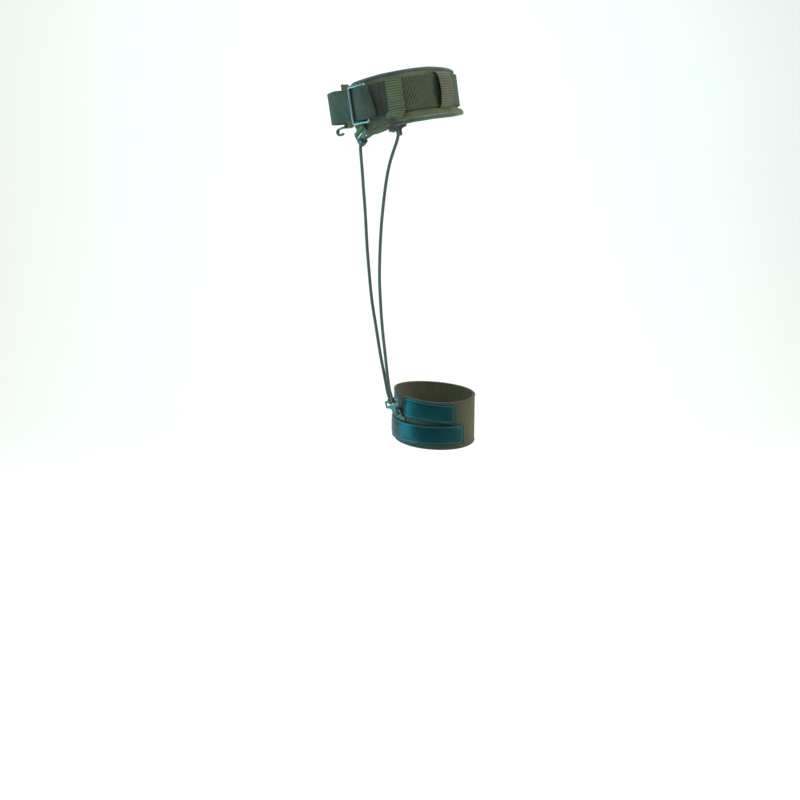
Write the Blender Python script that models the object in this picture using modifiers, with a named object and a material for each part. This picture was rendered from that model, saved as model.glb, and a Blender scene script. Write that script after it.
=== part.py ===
"""Hip orthosis: a padded waist belt, an elastic cord over two hooks and a thigh cuff. Metres, +Z up.

The origin is the middle of the waist opening at the height of the belt. The wearer faces -X, and
the cord hangs on the wearer's left, at -Y.
"""

import math

import bmesh
import bpy
from mathutils import Matrix, Vector

# Gap between pieces that touch on the real object
CLEAR = 0.0003
# Slack between layers of webbing, tape and foam
SLACK = 0.0006

# Waist, an ellipse measured inside the pad, with its axis leaning so that the front is lower
WAIST_HALF_DEPTH = 0.093
WAIST_HALF_WIDTH = 0.141
BELT_TILT = math.radians(8.3)
BELLY_STAND = 0.010
BELLY_REACH = math.radians(46)

# Foam pad and the tape bound round its edge
PAD_THICK = 0.006
PAD_RISE = 0.036
PAD_DROP = 0.046
PAD_FLARE = 0.010
PAD_CORNER = 0.018
PAD_END = math.radians(42)
BINDING_THICK = 0.0008
BINDING_LEG = 0.0045

# Webbing
BELT_WIDTH = 0.050
BELT_THICK = 0.0020
BELT_CORNER = 0.006
LOOP_WIDTH = 0.025
LOOP_THICK = 0.0016
BACK_LOOP_WIDTH = 0.034
BACK_LOOP_THICK = 0.0018
BACK_LOOP_BULGE = 0.0085
BACK_LOOP_ANGLE = math.radians(136)

# Rectangular ring at the left front
RING_HEIGHT = 0.063
RING_SPAN = 0.036
RING_BAR = 0.005
RING_CORNER = 0.0025
RING_DROP = 0.0004
RING_ANGLE = math.radians(47)
TUCK_LENGTH = 0.022
TAIL_LENGTH = 0.010

# Hooks: a slotted frame, a neck and a curl
HOOK_WIDTH = 0.029
HOOK_THICK = 0.0026
HOOK_FRAME = 0.013
HOOK_SLOT = 0.004
HOOK_NECK = 0.008
HOOK_NECK_WIDTH = 0.009
HOOK_CURL = 0.0055
HOOK_CURL_END = math.radians(60)

# Elastic cord
CORD_DIAMETER = 0.005
CORD_STEP = 0.0135

# Thigh cuff
LEG_RADIUS = 0.064
CUFF_MIDDLE = Vector((0.0635, -0.115, -0.515))
CUFF_THICK = 0.0035
CUFF_TOP = 0.043
CUFF_TOP_LEAN = 0.008
CUFF_BOTTOM = 0.040
STRAP_WIDTH = 0.034
STRAP_THICK = 0.003
STRAP_CORNER = 0.007
TAB_WIDTH = 0.013
TAB_THICK = 0.0016

# Pad edges by angle from the front: shares of the rise, the drop and the flare
PAD_EDGES = (
    # angle, rise, drop, flare
    (42, 0.64, 0.96, 0.00),
    (52, 0.74, 1.00, 0.00),
    (64, 0.84, 1.00, 0.15),
    (77, 0.92, 0.89, 0.35),
    (88, 0.96, 0.77, 0.50),
    (105, 0.99, 0.72, 0.70),
    (125, 1.00, 0.72, 0.90),
    (150, 0.93, 0.78, 1.00),
    (180, 0.88, 0.80, 1.00),
)

# Webbing loops with hooks. The slot's place is its angle, its stand outside the belt and its depth
# under the belt's lower edge; tilt lowers the slot's rear end and swing lifts the curl outward.
HOOK_LOOPS = (
    # number, loop angle, slot angle, stand, depth, tilt, swing, turned, sewn, tail
    (1, 89, 85.8, 0.0065, 0.0095, 17, 4, False, False, 0.0),
    (2, 54, 53.2, 0.0020, 0.0231, -30, 0, False, True, 0.0),
    (3, -33, -33.0, 0.0055, 0.0050, 0, 78, True, False, 0.018),
    (4, -89, -89.0, 0.0055, 0.0095, 0, 4, False, False, 0.0),
)

# Cuff hook: angle of its slot and of its face, stand outside the leg, height, tilt
CUFF_HOOK_ANGLE = math.radians(33)
CUFF_HOOK_FACING = math.radians(50)
CUFF_HOOK_STAND = 0.0200
CUFF_HOOK_HEIGHT = 0.030
CUFF_HOOK_TILT = math.radians(22)

# Cuff straps: where they start and end round the leg, their height and how it leans to the front
CUFF_STRAPS = (
    # name, start, end, height, lean
    ("cuff_strap_upper", 45, 118, 0.0200, 0.0065),
    ("cuff_strap_lower", -62, 132, -0.0170, 0.0020),
)

# The cord's route, from the knot up the front run, over hooks 2 and 1 and down the rear run
CORD_ROUTE = (
    (-0.0119, -0.1566, -0.4765),
    (-0.0142, -0.1547, -0.4691),
    (-0.0168, -0.1535, -0.4560),
    (-0.0200, -0.1532, -0.4380),
    (-0.0262, -0.1540, -0.4040),
    (-0.0328, -0.1555, -0.3600),
    (-0.0392, -0.1565, -0.3170),
    (-0.0432, -0.1560, -0.2740),
    (-0.0466, -0.1535, -0.2280),
    (-0.0488, -0.1495, -0.1830),
    (-0.0515, -0.1440, -0.1450),
    (-0.0542, -0.1370, -0.1080),
    (-0.0560, -0.1310, -0.0870),
    (-0.0565, -0.1291, -0.0784),
    (-0.0557, -0.1295, -0.0738),
    (-0.0535, -0.1321, -0.0686),
    (-0.0510, -0.1344, -0.0665),
    (-0.0440, -0.1396, -0.0618),
    (-0.0345, -0.1464, -0.0562),
    (-0.0240, -0.1538, -0.0515),
    (-0.0119, -0.1618, -0.0491),
    (-0.0057, -0.1639, -0.0489),
    (-0.0010, -0.1643, -0.0509),
    (0.0023, -0.1646, -0.0549),
    (0.0030, -0.1646, -0.0600),
    (0.0010, -0.1644, -0.0690),
    (-0.0035, -0.1640, -0.0820),
    (-0.0112, -0.1635, -0.1070),
    (-0.0178, -0.1630, -0.1450),
    (-0.0240, -0.1630, -0.2050),
    (-0.0267, -0.1630, -0.2730),
    (-0.0250, -0.1620, -0.3250),
    (-0.0222, -0.1605, -0.3650),
    (-0.0183, -0.1600, -0.4030),
    (-0.0146, -0.1590, -0.4390),
    (-0.0120, -0.1582, -0.4590),
    (-0.0103, -0.1580, -0.4670),
    (-0.0080, -0.1599, -0.4744),
)

# Belt stack outside the waist: pad, a loop's inner leg, the belt
BELT_IN = PAD_THICK + LOOP_THICK + 2 * SLACK
BELT_OUT = BELT_IN + BELT_THICK
RING_OUT = BELT_OUT + CLEAR + RING_BAR / 2


def smooth(low, high, value):
    """0 below low, 1 above high, eased between them."""
    share = min(1.0, max(0.0, (value - low) / (high - low)))
    return share * share * (3 - 2 * share)


def table(rows, key, column):
    """A column of a table at a key, with straight runs between the rows."""
    for row, after in zip(rows, rows[1:]):
        if key <= after[0]:
            share = min(1.0, max(0.0, (key - row[0]) / (after[0] - row[0])))
            return row[column] + (after[column] - row[column]) * share
    return rows[-1][column]


def from_front(angle):
    """How far an angle round the waist is from the front, 0 to pi."""
    return abs((angle + math.pi) % (2 * math.pi) - math.pi)


def tilted(x, y, height):
    """A place in the belt's own leaning frame, in world coordinates."""
    cosine = math.cos(BELT_TILT)
    sine = math.sin(BELT_TILT)
    return Vector((cosine * x - sine * height, y, sine * x + cosine * height))


def waist_point(angle, out, height):
    """A place round the waist: angle from the front over the left side, and stand outside the body."""
    out += BELLY_STAND * (1 - smooth(0, BELLY_REACH, from_front(angle)))
    x = -(WAIST_HALF_DEPTH + out) * math.cos(angle)
    y = -(WAIST_HALF_WIDTH + out) * math.sin(angle)
    return tilted(x, y, height)


def waist_speed(angle):
    """Metres of belt for a radian of angle."""
    depth = (WAIST_HALF_DEPTH + BELT_OUT) * math.sin(angle)
    width = (WAIST_HALF_WIDTH + BELT_OUT) * math.cos(angle)
    return math.hypot(depth, width)


def cuff_point(angle, stand, height):
    """A place round the leg: angle from the front over the outer side."""
    radius = LEG_RADIUS + stand
    return CUFF_MIDDLE + Vector((-radius * math.cos(angle), -radius * math.sin(angle), height))


def cuff_band_top(angle):
    return CUFF_TOP + CUFF_TOP_LEAN * math.cos(angle)


def even(start, end, count):
    """Count values from start to end."""
    return [start + (end - start) * i / (count - 1) for i in range(count)]


def rounded_ends(start, end, count, corner_start, corner_end):
    """Values from start to end, closer together where a rounded corner is."""
    ease = (0.0, 0.08, 0.3, 0.62, 1.0)
    first = [start + corner_start * share for share in ease] if corner_start else [start]
    last = [end - corner_end * share for share in reversed(ease)] if corner_end else [end]
    return first + even(first[-1], last[0], count)[1:-1] + last


def corner_cut(edge, corner):
    """How much a rounded corner takes off the side, at a distance from the end."""
    if edge >= corner:
        return 0.0
    return corner - math.sqrt(max(0.0, corner * corner - (corner - edge) ** 2))


def material(name, colour, roughness, metallic=0.0):
    made = bpy.data.materials.new(name)
    made.use_nodes = True
    shader = made.node_tree.nodes["Principled BSDF"]
    shader.inputs["Base Color"].default_value = (*colour, 1.0)
    shader.inputs["Roughness"].default_value = roughness
    shader.inputs["Metallic"].default_value = metallic
    return made


def add_object(name, mesh, finish):
    mesh.materials.append(finish)
    made = bpy.data.objects.new(name, mesh)
    bpy.data.collections["hip_orthosis"].objects.link(made)
    return made


def sheet(name, columns, rows, place, thickness, finish, side=1.0, holes=()):
    """A grid of columns by rows laid out by place(column, row), and thickened to one side."""
    grid = bmesh.new()
    bmesh.ops.create_grid(grid, x_segments=columns - 1, y_segments=rows - 1, size=0.5)
    cells = {}
    for face in grid.faces:
        middle = face.calc_center_median()
        cell = (math.floor((middle.x + 0.5) * (columns - 1)), math.floor((middle.y + 0.5) * (rows - 1)))
        cells[cell] = face
    bmesh.ops.delete(grid, geom=[cells[cell] for cell in holes], context="FACES")
    for vertex in grid.verts:
        column = round((vertex.co.x + 0.5) * (columns - 1))
        row = round((vertex.co.y + 0.5) * (rows - 1))
        vertex.co = place(column, row)
    mesh = bpy.data.meshes.new(name)
    grid.to_mesh(mesh)
    grid.free()
    made = add_object(name, mesh, finish)
    shell = made.modifiers.new("thickness", "SOLIDIFY")
    shell.thickness = thickness
    shell.offset = side
    shell.use_even_offset = True
    return made


def loft(name, sections, finish, closed=False):
    """Rings of points joined one to the next; the two end rings are capped unless they meet."""
    solid = bmesh.new()
    rings = [[solid.verts.new(point) for point in section] for section in sections]
    pairs = list(zip(rings, rings[1:]))
    if closed:
        pairs.append((rings[-1], rings[0]))
    for ring, after in pairs:
        for i in range(len(ring)):
            j = (i + 1) % len(ring)
            solid.faces.new((ring[i], ring[j], after[j], after[i]))
    if not closed:
        solid.faces.new(list(reversed(rings[0])))
        solid.faces.new(rings[-1])
    bmesh.ops.recalc_face_normals(solid, faces=solid.faces)
    mesh = bpy.data.meshes.new(name)
    solid.to_mesh(mesh)
    solid.free()
    return add_object(name, mesh, finish)


# Pad

def pad_edge(angle, column):
    return table(PAD_EDGES, math.degrees(from_front(angle)), column)


def pad_end_cut(angle):
    """How much the rounded ends of the pad take off its top and bottom."""
    return corner_cut((from_front(angle) - PAD_END) * waist_speed(PAD_END), PAD_CORNER)


def pad_top(angle):
    return PAD_RISE * pad_edge(angle, 1) - pad_end_cut(angle)


def pad_bottom(angle):
    return -PAD_DROP * pad_edge(angle, 2) + pad_end_cut(angle)


def pad_flare(angle, height):
    """How far the pad's skirt stands out under the belt."""
    lower = -BELT_WIDTH / 2 - SLACK
    depth = PAD_DROP * pad_edge(angle, 2) + lower
    share = min(1.2, max(0.0, (lower - height) / depth))
    return PAD_FLARE * pad_edge(angle, 3) * share ** 1.5


def pad_point(angle, out, height):
    return waist_point(angle, out + pad_flare(angle, height), height)


def pad_angles():
    corner = PAD_CORNER / waist_speed(PAD_END)
    return rounded_ends(PAD_END, 2 * math.pi - PAD_END, 46, corner, corner)


def waist_pad(finish):
    def section(angle):
        low = pad_bottom(angle)
        top = pad_top(angle)
        bend = max(-BELT_WIDTH / 2, low + (top - low) * 0.2)
        skirt = bend - low
        heights = (low, low + skirt * 0.4, low + skirt * 0.7, bend, (bend + top) / 2, top)
        inner = [pad_point(angle, 0.0, height) for height in heights]
        outer = [pad_point(angle, PAD_THICK, height) for height in reversed(heights)]
        return inner + outer

    loft("waist_pad", [section(angle) for angle in pad_angles()], finish)


def pad_outline():
    """The pad's edge as pairs of angle and height: along the top, then back along the bottom."""
    angles = pad_angles()
    upper = [(angle, pad_top(angle)) for angle in angles]
    lower = [(angle, pad_bottom(angle)) for angle in reversed(angles)]
    return upper + lower


def pad_binding(finish):
    outline = pad_outline()
    reach = SLACK + BINDING_THICK
    sections = []
    for i, (angle, height) in enumerate(outline):
        before = outline[i - 1]
        after = outline[(i + 1) % len(outline)]
        speed = waist_speed(angle)
        along = Vector(((after[0] - before[0]) * speed, after[1] - before[1])).normalized()
        inward = Vector((along.y, -along.x))

        def edge_point(inset, out):
            place = (angle + inward.x * inset / speed, height + inward.y * inset)
            return pad_point(place[0], out, place[1])

        sections.append([
            edge_point(BINDING_LEG, PAD_THICK + SLACK),
            edge_point(BINDING_LEG, PAD_THICK + reach),
            edge_point(-reach, PAD_THICK + reach),
            edge_point(-reach, -reach),
            edge_point(BINDING_LEG, -reach),
            edge_point(BINDING_LEG, -SLACK),
            edge_point(-SLACK, -SLACK),
            edge_point(-SLACK, PAD_THICK + SLACK),
        ])
    loft("pad_binding", sections, finish, closed=True)


# Belt, ring and back loops

def ring_bar_angle():
    """The angle of the ring's rear bar, which the belt is folded round."""
    return RING_ANGLE + RING_SPAN / waist_speed(RING_ANGLE + RING_SPAN / 0.26)


def belt_route():
    """Pairs of angle and stand of the belt's inner face: fold round the rear bar, round the waist, tail."""
    bar = ring_bar_angle()
    speed = waist_speed(bar)
    fold = RING_BAR / 2 + CLEAR
    tuck = [(bar + TUCK_LENGTH * share / speed, BELT_OUT) for share in (1.0, 0.66, 0.33, 0.0)]
    turn = []
    for step in range(1, 6):
        swing = math.pi * step / 6
        turn.append((bar - fold * math.sin(swing) / speed, RING_OUT - fold * math.cos(swing)))
    over = RING_OUT + fold
    falls = ((0.0, 1.0), (0.2, 0.93), (0.4, 0.6), (0.6, 0.22), (0.78, 0.03), (1.0, 0.0))
    low = BELT_OUT + CLEAR
    fall = [(bar + TUCK_LENGTH * share / speed, low + (over - low) * rest) for share, rest in falls]
    past = bar + (TUCK_LENGTH + 0.006) / speed
    first = RING_ANGLE + 2 * math.pi - (RING_BAR + 0.004) / speed
    round_waist = [(angle, BELT_IN) for angle in even(past, first, 46)]
    top = over + BELT_THICK + CLEAR
    rises = ((0.12, 0.0), (0.35, 0.25), (0.6, 0.68), (0.85, 0.97), (1.0, 1.0))
    rise = [
        (RING_ANGLE + 2 * math.pi + (bar - RING_ANGLE) * share, BELT_IN + (top - BELT_IN) * high)
        for share, high in rises
    ]
    ease = (0.35, 0.7, 0.9, 1.0)
    tail = [(bar + 2 * math.pi + TAIL_LENGTH * share / speed, top) for share in ease]
    return tuck + turn + fall + round_waist + rise + tail


def waist_belt(finish):
    route = belt_route()
    last = route[-1][0]
    rows = 2

    def place(column, row):
        angle, out = route[column]
        edge = (last - angle) * waist_speed(angle)
        half = BELT_WIDTH / 2 - corner_cut(edge, BELT_CORNER)
        return waist_point(angle, out, half * (2 * row / (rows - 1) - 1))

    sheet("waist_belt", len(route), rows, place, BELT_THICK, finish)


def belt_ring(finish):
    """The rectangular ring, one round bar bent into a frame with rounded corners."""
    front = waist_point(RING_ANGLE, RING_OUT, 0.0)
    rear = waist_point(ring_bar_angle(), RING_OUT, 0.0)
    up = tilted(0.0, 0.0, 1.0)
    across = (rear - front).normalized()
    half_span = (rear - front).length / 2
    half_height = (RING_HEIGHT - RING_BAR) / 2
    middle = (front + rear) / 2 - up * RING_DROP
    points = []
    corners = ((1, 1, 0), (-1, 1, 90), (-1, -1, 180), (1, -1, 270))
    for side, level, start in corners:
        for step in range(4):
            turn = math.radians(start + 30 * step)
            x = side * (half_span - RING_CORNER) + RING_CORNER * math.cos(turn)
            z = level * (half_height - RING_CORNER) + RING_CORNER * math.sin(turn)
            points.append(middle + across * x + up * z)
    curve = bpy.data.curves.new("belt_ring", "CURVE")
    curve.dimensions = "3D"
    curve.bevel_depth = RING_BAR / 2
    curve.bevel_resolution = 2
    spline = curve.splines.new("POLY")
    spline.points.add(len(points) - 1)
    spline.use_cyclic_u = True
    for point, place in zip(spline.points, points):
        point.co = (*place, 1.0)
    add_object("belt_ring", curve, finish)


def back_loop(name, side, finish):
    """A webbing loop that is sewn to the pad above and below the belt and bulges over it."""
    on_pad = PAD_THICK + SLACK
    bulge = BELT_OUT + BACK_LOOP_BULGE - on_pad
    half_belt = BELT_WIDTH / 2
    rows = (
        # height as a share of the belt's half width, bulge as a share of the whole bulge
        (-1.12, 0.0),
        (-1.07, 0.06),
        (-1.03, 0.40),
        (-0.88, 0.66),
        (-0.45, 0.93),
        (0.10, 1.0),
        (0.62, 0.86),
        (0.94, 0.60),
        (1.04, 0.30),
        (1.09, 0.0),
        (1.15, 0.0),
    )
    columns = 4
    middle = side * BACK_LOOP_ANGLE

    def place(column, row):
        share, stand = rows[row]
        height = half_belt * share
        aside = BACK_LOOP_WIDTH * (column / (columns - 1) - 0.5)
        angle = middle + aside / waist_speed(middle)
        return pad_point(angle, on_pad + bulge * stand, height)

    sheet(name, columns, len(rows), place, BACK_LOOP_THICK, finish)


# Hooks and their loops

def facing(place, outward, up, tilt, swing, turned):
    """A hook's frame: X rearward along its slot, -Y outward, +Z up, with its origin in the slot."""
    rear = up.cross(outward).normalized()
    upright = Matrix((rear, -outward, up)).transposed().to_4x4()
    lean = Matrix.Rotation(tilt, 4, "Y") @ Matrix.Rotation(-swing, 4, "X")
    turn = Matrix.Rotation(math.pi if turned else 0.0, 4, "Z")
    return Matrix.Translation(place) @ upright @ lean, turn


def waist_facing(angle, out, height, tilt, swing, turned):
    place = waist_point(angle, out, height)
    x = -math.cos(angle) / (WAIST_HALF_DEPTH + out)
    y = -math.sin(angle) / (WAIST_HALF_WIDTH + out)
    outward = tilted(x, y, 0.0).normalized()
    return facing(place, outward, tilted(0.0, 0.0, 1.0), tilt, swing, turned)


def hook_rows():
    """The hook's middle line from its top edge to its tip: stand outward, height and half width."""
    half = HOOK_WIDTH / 2
    neck = HOOK_NECK_WIDTH / 2
    frame = HOOK_FRAME / 2
    rows = [
        (0.0, frame, half * 0.88),
        (0.0, frame - HOOK_THICK / 2, half),
        (0.0, HOOK_SLOT / 2, half),
        (0.0, -HOOK_SLOT / 2, half),
        (0.0, -frame + HOOK_THICK / 3, half * 0.95),
        (0.0, -frame, half * 0.55),
        (0.0, -frame - HOOK_NECK * 0.35, neck),
        (0.0, -frame - HOOK_NECK, neck),
    ]
    steps = 9
    for step in range(1, steps + 1):
        turn = (math.pi + HOOK_CURL_END) * step / steps
        out = HOOK_CURL * (1 - math.cos(turn))
        rows.append((out, -frame - HOOK_NECK - HOOK_CURL * math.sin(turn), neck))
    return rows


def hook(name, frame, turn, finish):
    rows = hook_rows()
    slot = (LOOP_WIDTH / 2 + 2 * CLEAR) / (HOOK_WIDTH / 2)
    shares = (-1.0, -slot, -0.3, 0.3, slot, 1.0)

    def place(column, row):
        out, height, half = rows[len(rows) - 1 - row]
        return Vector((shares[column] * half, -out, height))

    slot_row = len(rows) - 4
    holes = [(1, slot_row), (2, slot_row), (3, slot_row)]
    made = sheet(name, len(shares), len(rows), place, HOOK_THICK, finish, side=0.0, holes=holes)
    made.matrix_world = frame @ turn


def hook_loop(name, angle, frame, sewn, tail, finish):
    """Webbing from behind the belt, through the hook's slot and back over the belt."""
    top = BELT_WIDTH / 2 + CLEAR
    behind = BELT_IN - SLACK
    front = BELT_OUT + SLACK
    bar_side = HOOK_THICK / 2 + CLEAR
    bar_top = HOOK_FRAME / 2 + CLEAR
    bar_low = HOOK_SLOT / 2 - CLEAR
    columns = 4
    start = BELT_WIDTH * 0.2 if sewn else top + tail
    under = -BELT_WIDTH / 2 - CLEAR
    beside_bar = ((bar_side, bar_top), (bar_side, bar_low), (-bar_side, bar_low), (-bar_side, bar_top))
    belt_places = [(behind, start), (behind, start * 0.5), (behind, under)]
    return_places = [] if sewn else [(front, under), (front, 0.0), (front, top), (BELT_IN, top)]
    count = len(belt_places) + len(beside_bar) + len(return_places) + (1 if sewn else 0)

    def place(column, row):
        aside = LOOP_WIDTH * (column / (columns - 1) - 0.5)
        here = angle + aside / waist_speed(angle)
        if row < len(belt_places):
            return waist_point(here, *belt_places[row])
        row -= len(belt_places)
        if row < len(beside_bar):
            depth, height = beside_bar[row]
            return frame @ Vector((aside, depth, height))
        row -= len(beside_bar)
        if sewn:
            return frame @ Vector((aside, -bar_side, bar_top + HOOK_FRAME * 0.05))
        return waist_point(here, *return_places[row])

    sheet(name, columns, count, place, LOOP_THICK, finish)


def hooks_and_loops(webbing, plastic):
    for number, angle, slot_angle, stand, depth, tilt, swing, turned, sewn, tail in HOOK_LOOPS:
        out = BELT_OUT + stand
        height = -BELT_WIDTH / 2 - depth
        lean = math.radians(tilt)
        lift = math.radians(swing)
        frame, turn = waist_facing(math.radians(slot_angle), out, height, lean, lift, turned)
        hook(f"cord_hook_{number}", frame, turn, plastic)
        hook_loop(f"hook_loop_{number}", math.radians(angle), frame, sewn, tail, webbing)


# Elastic cord

def curve_through(points, step):
    """Points along a smooth curve through the given ones, a step apart or closer."""
    places = [Vector(point) for point in points]
    ends = [2 * places[0] - places[1]] + places + [2 * places[-1] - places[-2]]
    line = [places[0]]
    for a, b, c, d in zip(ends, ends[1:], ends[2:], ends[3:]):
        pieces = max(1, round((c - b).length / step))
        for piece in range(1, pieces + 1):
            t = piece / pieces
            bend = (2 * a - 5 * b + 4 * c - d) * t * t + (3 * b - a - 3 * c + d) * t ** 3
            line.append(0.5 * (2 * b + (c - a) * t + bend))
    return line


def elastic_cord(finish):
    line = curve_through(CORD_ROUTE, CORD_STEP)
    curve = bpy.data.curves.new("elastic_cord", "CURVE")
    curve.dimensions = "3D"
    curve.bevel_depth = CORD_DIAMETER / 2
    curve.bevel_resolution = 2
    curve.use_fill_caps = True
    spline = curve.splines.new("POLY")
    spline.points.add(len(line) - 1)
    for point, place in zip(spline.points, line):
        point.co = (*place, 1.0)
    add_object("elastic_cord", curve, finish)


# Thigh cuff

def cuff_band(finish):
    def section(angle):
        top = cuff_band_top(angle)
        return [
            cuff_point(angle, 0.0, -CUFF_BOTTOM),
            cuff_point(angle, 0.0, top),
            cuff_point(angle, CUFF_THICK, top),
            cuff_point(angle, CUFF_THICK, -CUFF_BOTTOM),
        ]

    turns = even(0.0, 2 * math.pi, 49)[:-1]
    loft("cuff_band", [section(angle) for angle in turns], finish, closed=True)


def cuff_strap(name, start, end, height, lean, finish):
    """A padded strap round the band, with a rounded free end at the back."""
    stand = CUFF_THICK + SLACK
    corner = STRAP_CORNER / (LEG_RADIUS + stand)
    first = math.radians(start)
    last = math.radians(end)
    turns = rounded_ends(first, last, max(8, (end - start) // 8), corner, corner)
    rows = 4

    def place(column, row):
        angle = turns[column]
        edge = min(angle - first, last - angle) * (LEG_RADIUS + stand)
        half = STRAP_WIDTH / 2 - corner_cut(edge, STRAP_CORNER)
        middle = height + lean * math.cos(angle)
        return cuff_point(angle, stand, middle + half * (2 * row / (rows - 1) - 1))

    sheet(name, len(turns), rows, place, STRAP_THICK, finish)


def cuff_facing():
    place = cuff_point(CUFF_HOOK_ANGLE, CUFF_HOOK_STAND, CUFF_HOOK_HEIGHT)
    outward = Vector((-math.cos(CUFF_HOOK_FACING), -math.sin(CUFF_HOOK_FACING), 0.0))
    return facing(place, outward, Vector((0.0, 0.0, 1.0)), -CUFF_HOOK_TILT, 0.0, True)


def cord_knot(frame, finish):
    """The two cord ends hitched round the bar of the cuff hook's slot."""
    side = HOOK_THICK / 2 + CLEAR
    top = HOOK_FRAME / 2 + CLEAR
    low = HOOK_SLOT / 2 - CLEAR
    ring = ((side, top), (side, low), (-side, low), (-side, top))
    thick = HOOK_SLOT - 2 * CLEAR - CLEAR
    half = CORD_DIAMETER + 2 * CLEAR
    places = []
    for aside in (-half, half):
        inner = [frame @ Vector((aside, depth, height)) for depth, height in ring]
        outer = []
        for depth, height in ring:
            wide = depth + math.copysign(thick, depth)
            tall = height + (thick if height == top else -thick)
            outer.append(frame @ Vector((aside, wide, tall)))
        places.append((inner, outer))
    sections = []
    for i in range(len(ring)):
        sections.append([places[0][0][i], places[1][0][i], places[1][1][i], places[0][1][i]])
    loft("cord_knot", sections, finish, closed=True)


def cuff_tab(frame, finish):
    """A webbing tab on the band whose slit end the cuff hook's curl goes through."""
    curl_low = -HOOK_FRAME / 2 - HOOK_NECK - HOOK_CURL
    slit_top = curl_low + HOOK_THICK / 2 + CLEAR
    slit_low = curl_low - HOOK_THICK / 2 - CLEAR
    levels = (slit_top + 2 * TAB_THICK, slit_top, slit_low, slit_low - 2 * TAB_THICK)
    stand = CUFF_THICK + SLACK + TAB_THICK / 2
    strap = CUFF_STRAPS[1]
    slit = (HOOK_NECK_WIDTH / 2 + 2 * CLEAR) / (TAB_WIDTH / 2)
    shares = (-1.0, -slit, slit, 1.0)
    curl_foot = cuff_seat_angle(frame, levels[-1])
    strap_top = strap[3] + strap[4] * math.cos(curl_foot) + STRAP_WIDTH / 2
    sewn = (strap_top + 0.0070, strap_top + 0.0005)

    def place(column, row):
        aside = TAB_WIDTH / 2 * shares[column]
        row = len(levels) + len(sewn) - 1 - row
        if row < len(levels):
            return frame @ Vector((aside, HOOK_CURL, levels[row]))
        angle = curl_foot + aside / LEG_RADIUS
        return cuff_point(angle, stand, sewn[row - len(levels)])

    rows = len(levels) + len(sewn)
    slit_row = rows - 3
    sheet("cuff_tab", len(shares), rows, place, TAB_THICK, finish, side=0.0, holes=[(1, slit_row)])


def cuff_seat_angle(frame, level):
    """The angle round the leg under a place on the cuff hook's middle line."""
    place = frame @ Vector((0.0, HOOK_CURL, level)) - CUFF_MIDDLE
    return math.atan2(-place.y, -place.x)


def cuff(band, leather, webbing, plastic, cord):
    cuff_band(band)
    for name, start, end, height, lean in CUFF_STRAPS:
        cuff_strap(name, start, end, height, lean, leather)
    frame, turn = cuff_facing()
    hook("cuff_hook", frame, turn, plastic)
    cord_knot(frame, cord)
    cuff_tab(frame, webbing)


def main():
    for old in list(bpy.data.objects):
        bpy.data.objects.remove(old)
    parts = bpy.data.collections.new("hip_orthosis")
    bpy.context.scene.collection.children.link(parts)

    foam = material("foam_fabric", (0.035, 0.045, 0.040), 0.85)
    tape = material("binding_tape", (0.012, 0.022, 0.020), 0.70)
    webbing = material("webbing", (0.040, 0.045, 0.038), 0.75)
    plastic = material("moulded_plastic", (0.030, 0.036, 0.034), 0.35)
    cord = material("braided_cord", (0.030, 0.036, 0.028), 0.65)
    leather = material("synthetic_leather", (0.018, 0.020, 0.022), 0.38)
    elastic = material("ribbed_elastic", (0.025, 0.020, 0.018), 0.80)

    waist_pad(foam)
    pad_binding(tape)
    waist_belt(webbing)
    belt_ring(plastic)
    back_loop("back_loop_left", 1, webbing)
    back_loop("back_loop_right", -1, webbing)
    hooks_and_loops(webbing, plastic)
    elastic_cord(cord)
    cuff(elastic, leather, webbing, plastic, cord)


main()
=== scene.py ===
"""Looks of the hip orthosis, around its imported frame. Metres, +Z up; the wearer faces -X, left is -Y."""

import math
import random

import bmesh
import bpy
import numpy as np
from mathutils import Matrix, Vector


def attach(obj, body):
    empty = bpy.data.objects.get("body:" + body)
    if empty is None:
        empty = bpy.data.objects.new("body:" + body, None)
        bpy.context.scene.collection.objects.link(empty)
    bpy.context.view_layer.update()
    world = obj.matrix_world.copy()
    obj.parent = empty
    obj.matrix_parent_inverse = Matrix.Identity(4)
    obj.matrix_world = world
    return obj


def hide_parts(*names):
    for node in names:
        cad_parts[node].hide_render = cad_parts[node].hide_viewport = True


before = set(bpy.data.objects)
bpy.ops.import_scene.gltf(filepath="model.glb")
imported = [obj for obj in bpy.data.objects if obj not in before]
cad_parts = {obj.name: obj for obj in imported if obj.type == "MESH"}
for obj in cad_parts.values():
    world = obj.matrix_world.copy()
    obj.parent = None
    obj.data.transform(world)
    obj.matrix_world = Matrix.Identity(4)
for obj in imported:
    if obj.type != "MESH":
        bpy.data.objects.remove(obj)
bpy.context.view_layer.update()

TURN = 2 * math.pi

# Camera, at the photograph's viewing angle
CAMERA_PLACE = (0.0058, -1.855, -0.0916)
CAMERA_PITCH = math.radians(12.9)
CAMERA_LENS = 47.93
CAMERA_SENSOR = 36.0
FLOOR_HEIGHT = -1.02

# Gaps between pieces, as in the frame
CLEAR = 0.0003
SLACK = 0.0006

# Waist
WAIST_HALF_DEPTH = 0.093
WAIST_HALF_WIDTH = 0.141
BELT_TILT = math.radians(8.3)
BELLY_STAND = 0.010
BELLY_REACH = math.radians(46)
# Metres for a radian and for a metre, near enough to space points evenly
ROUND_SCALE = np.array([0.125, 1.0])

# Pad and its tape
PAD_THICK = 0.006
PAD_RISE = 0.036
PAD_DROP = 0.046
PAD_FLARE = 0.010
PAD_CORNER = 0.018
PAD_END = math.radians(42)
BINDING_THICK = 0.0008
BINDING_LEG = 0.0036
TAPE_COVER = 0.0035

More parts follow.
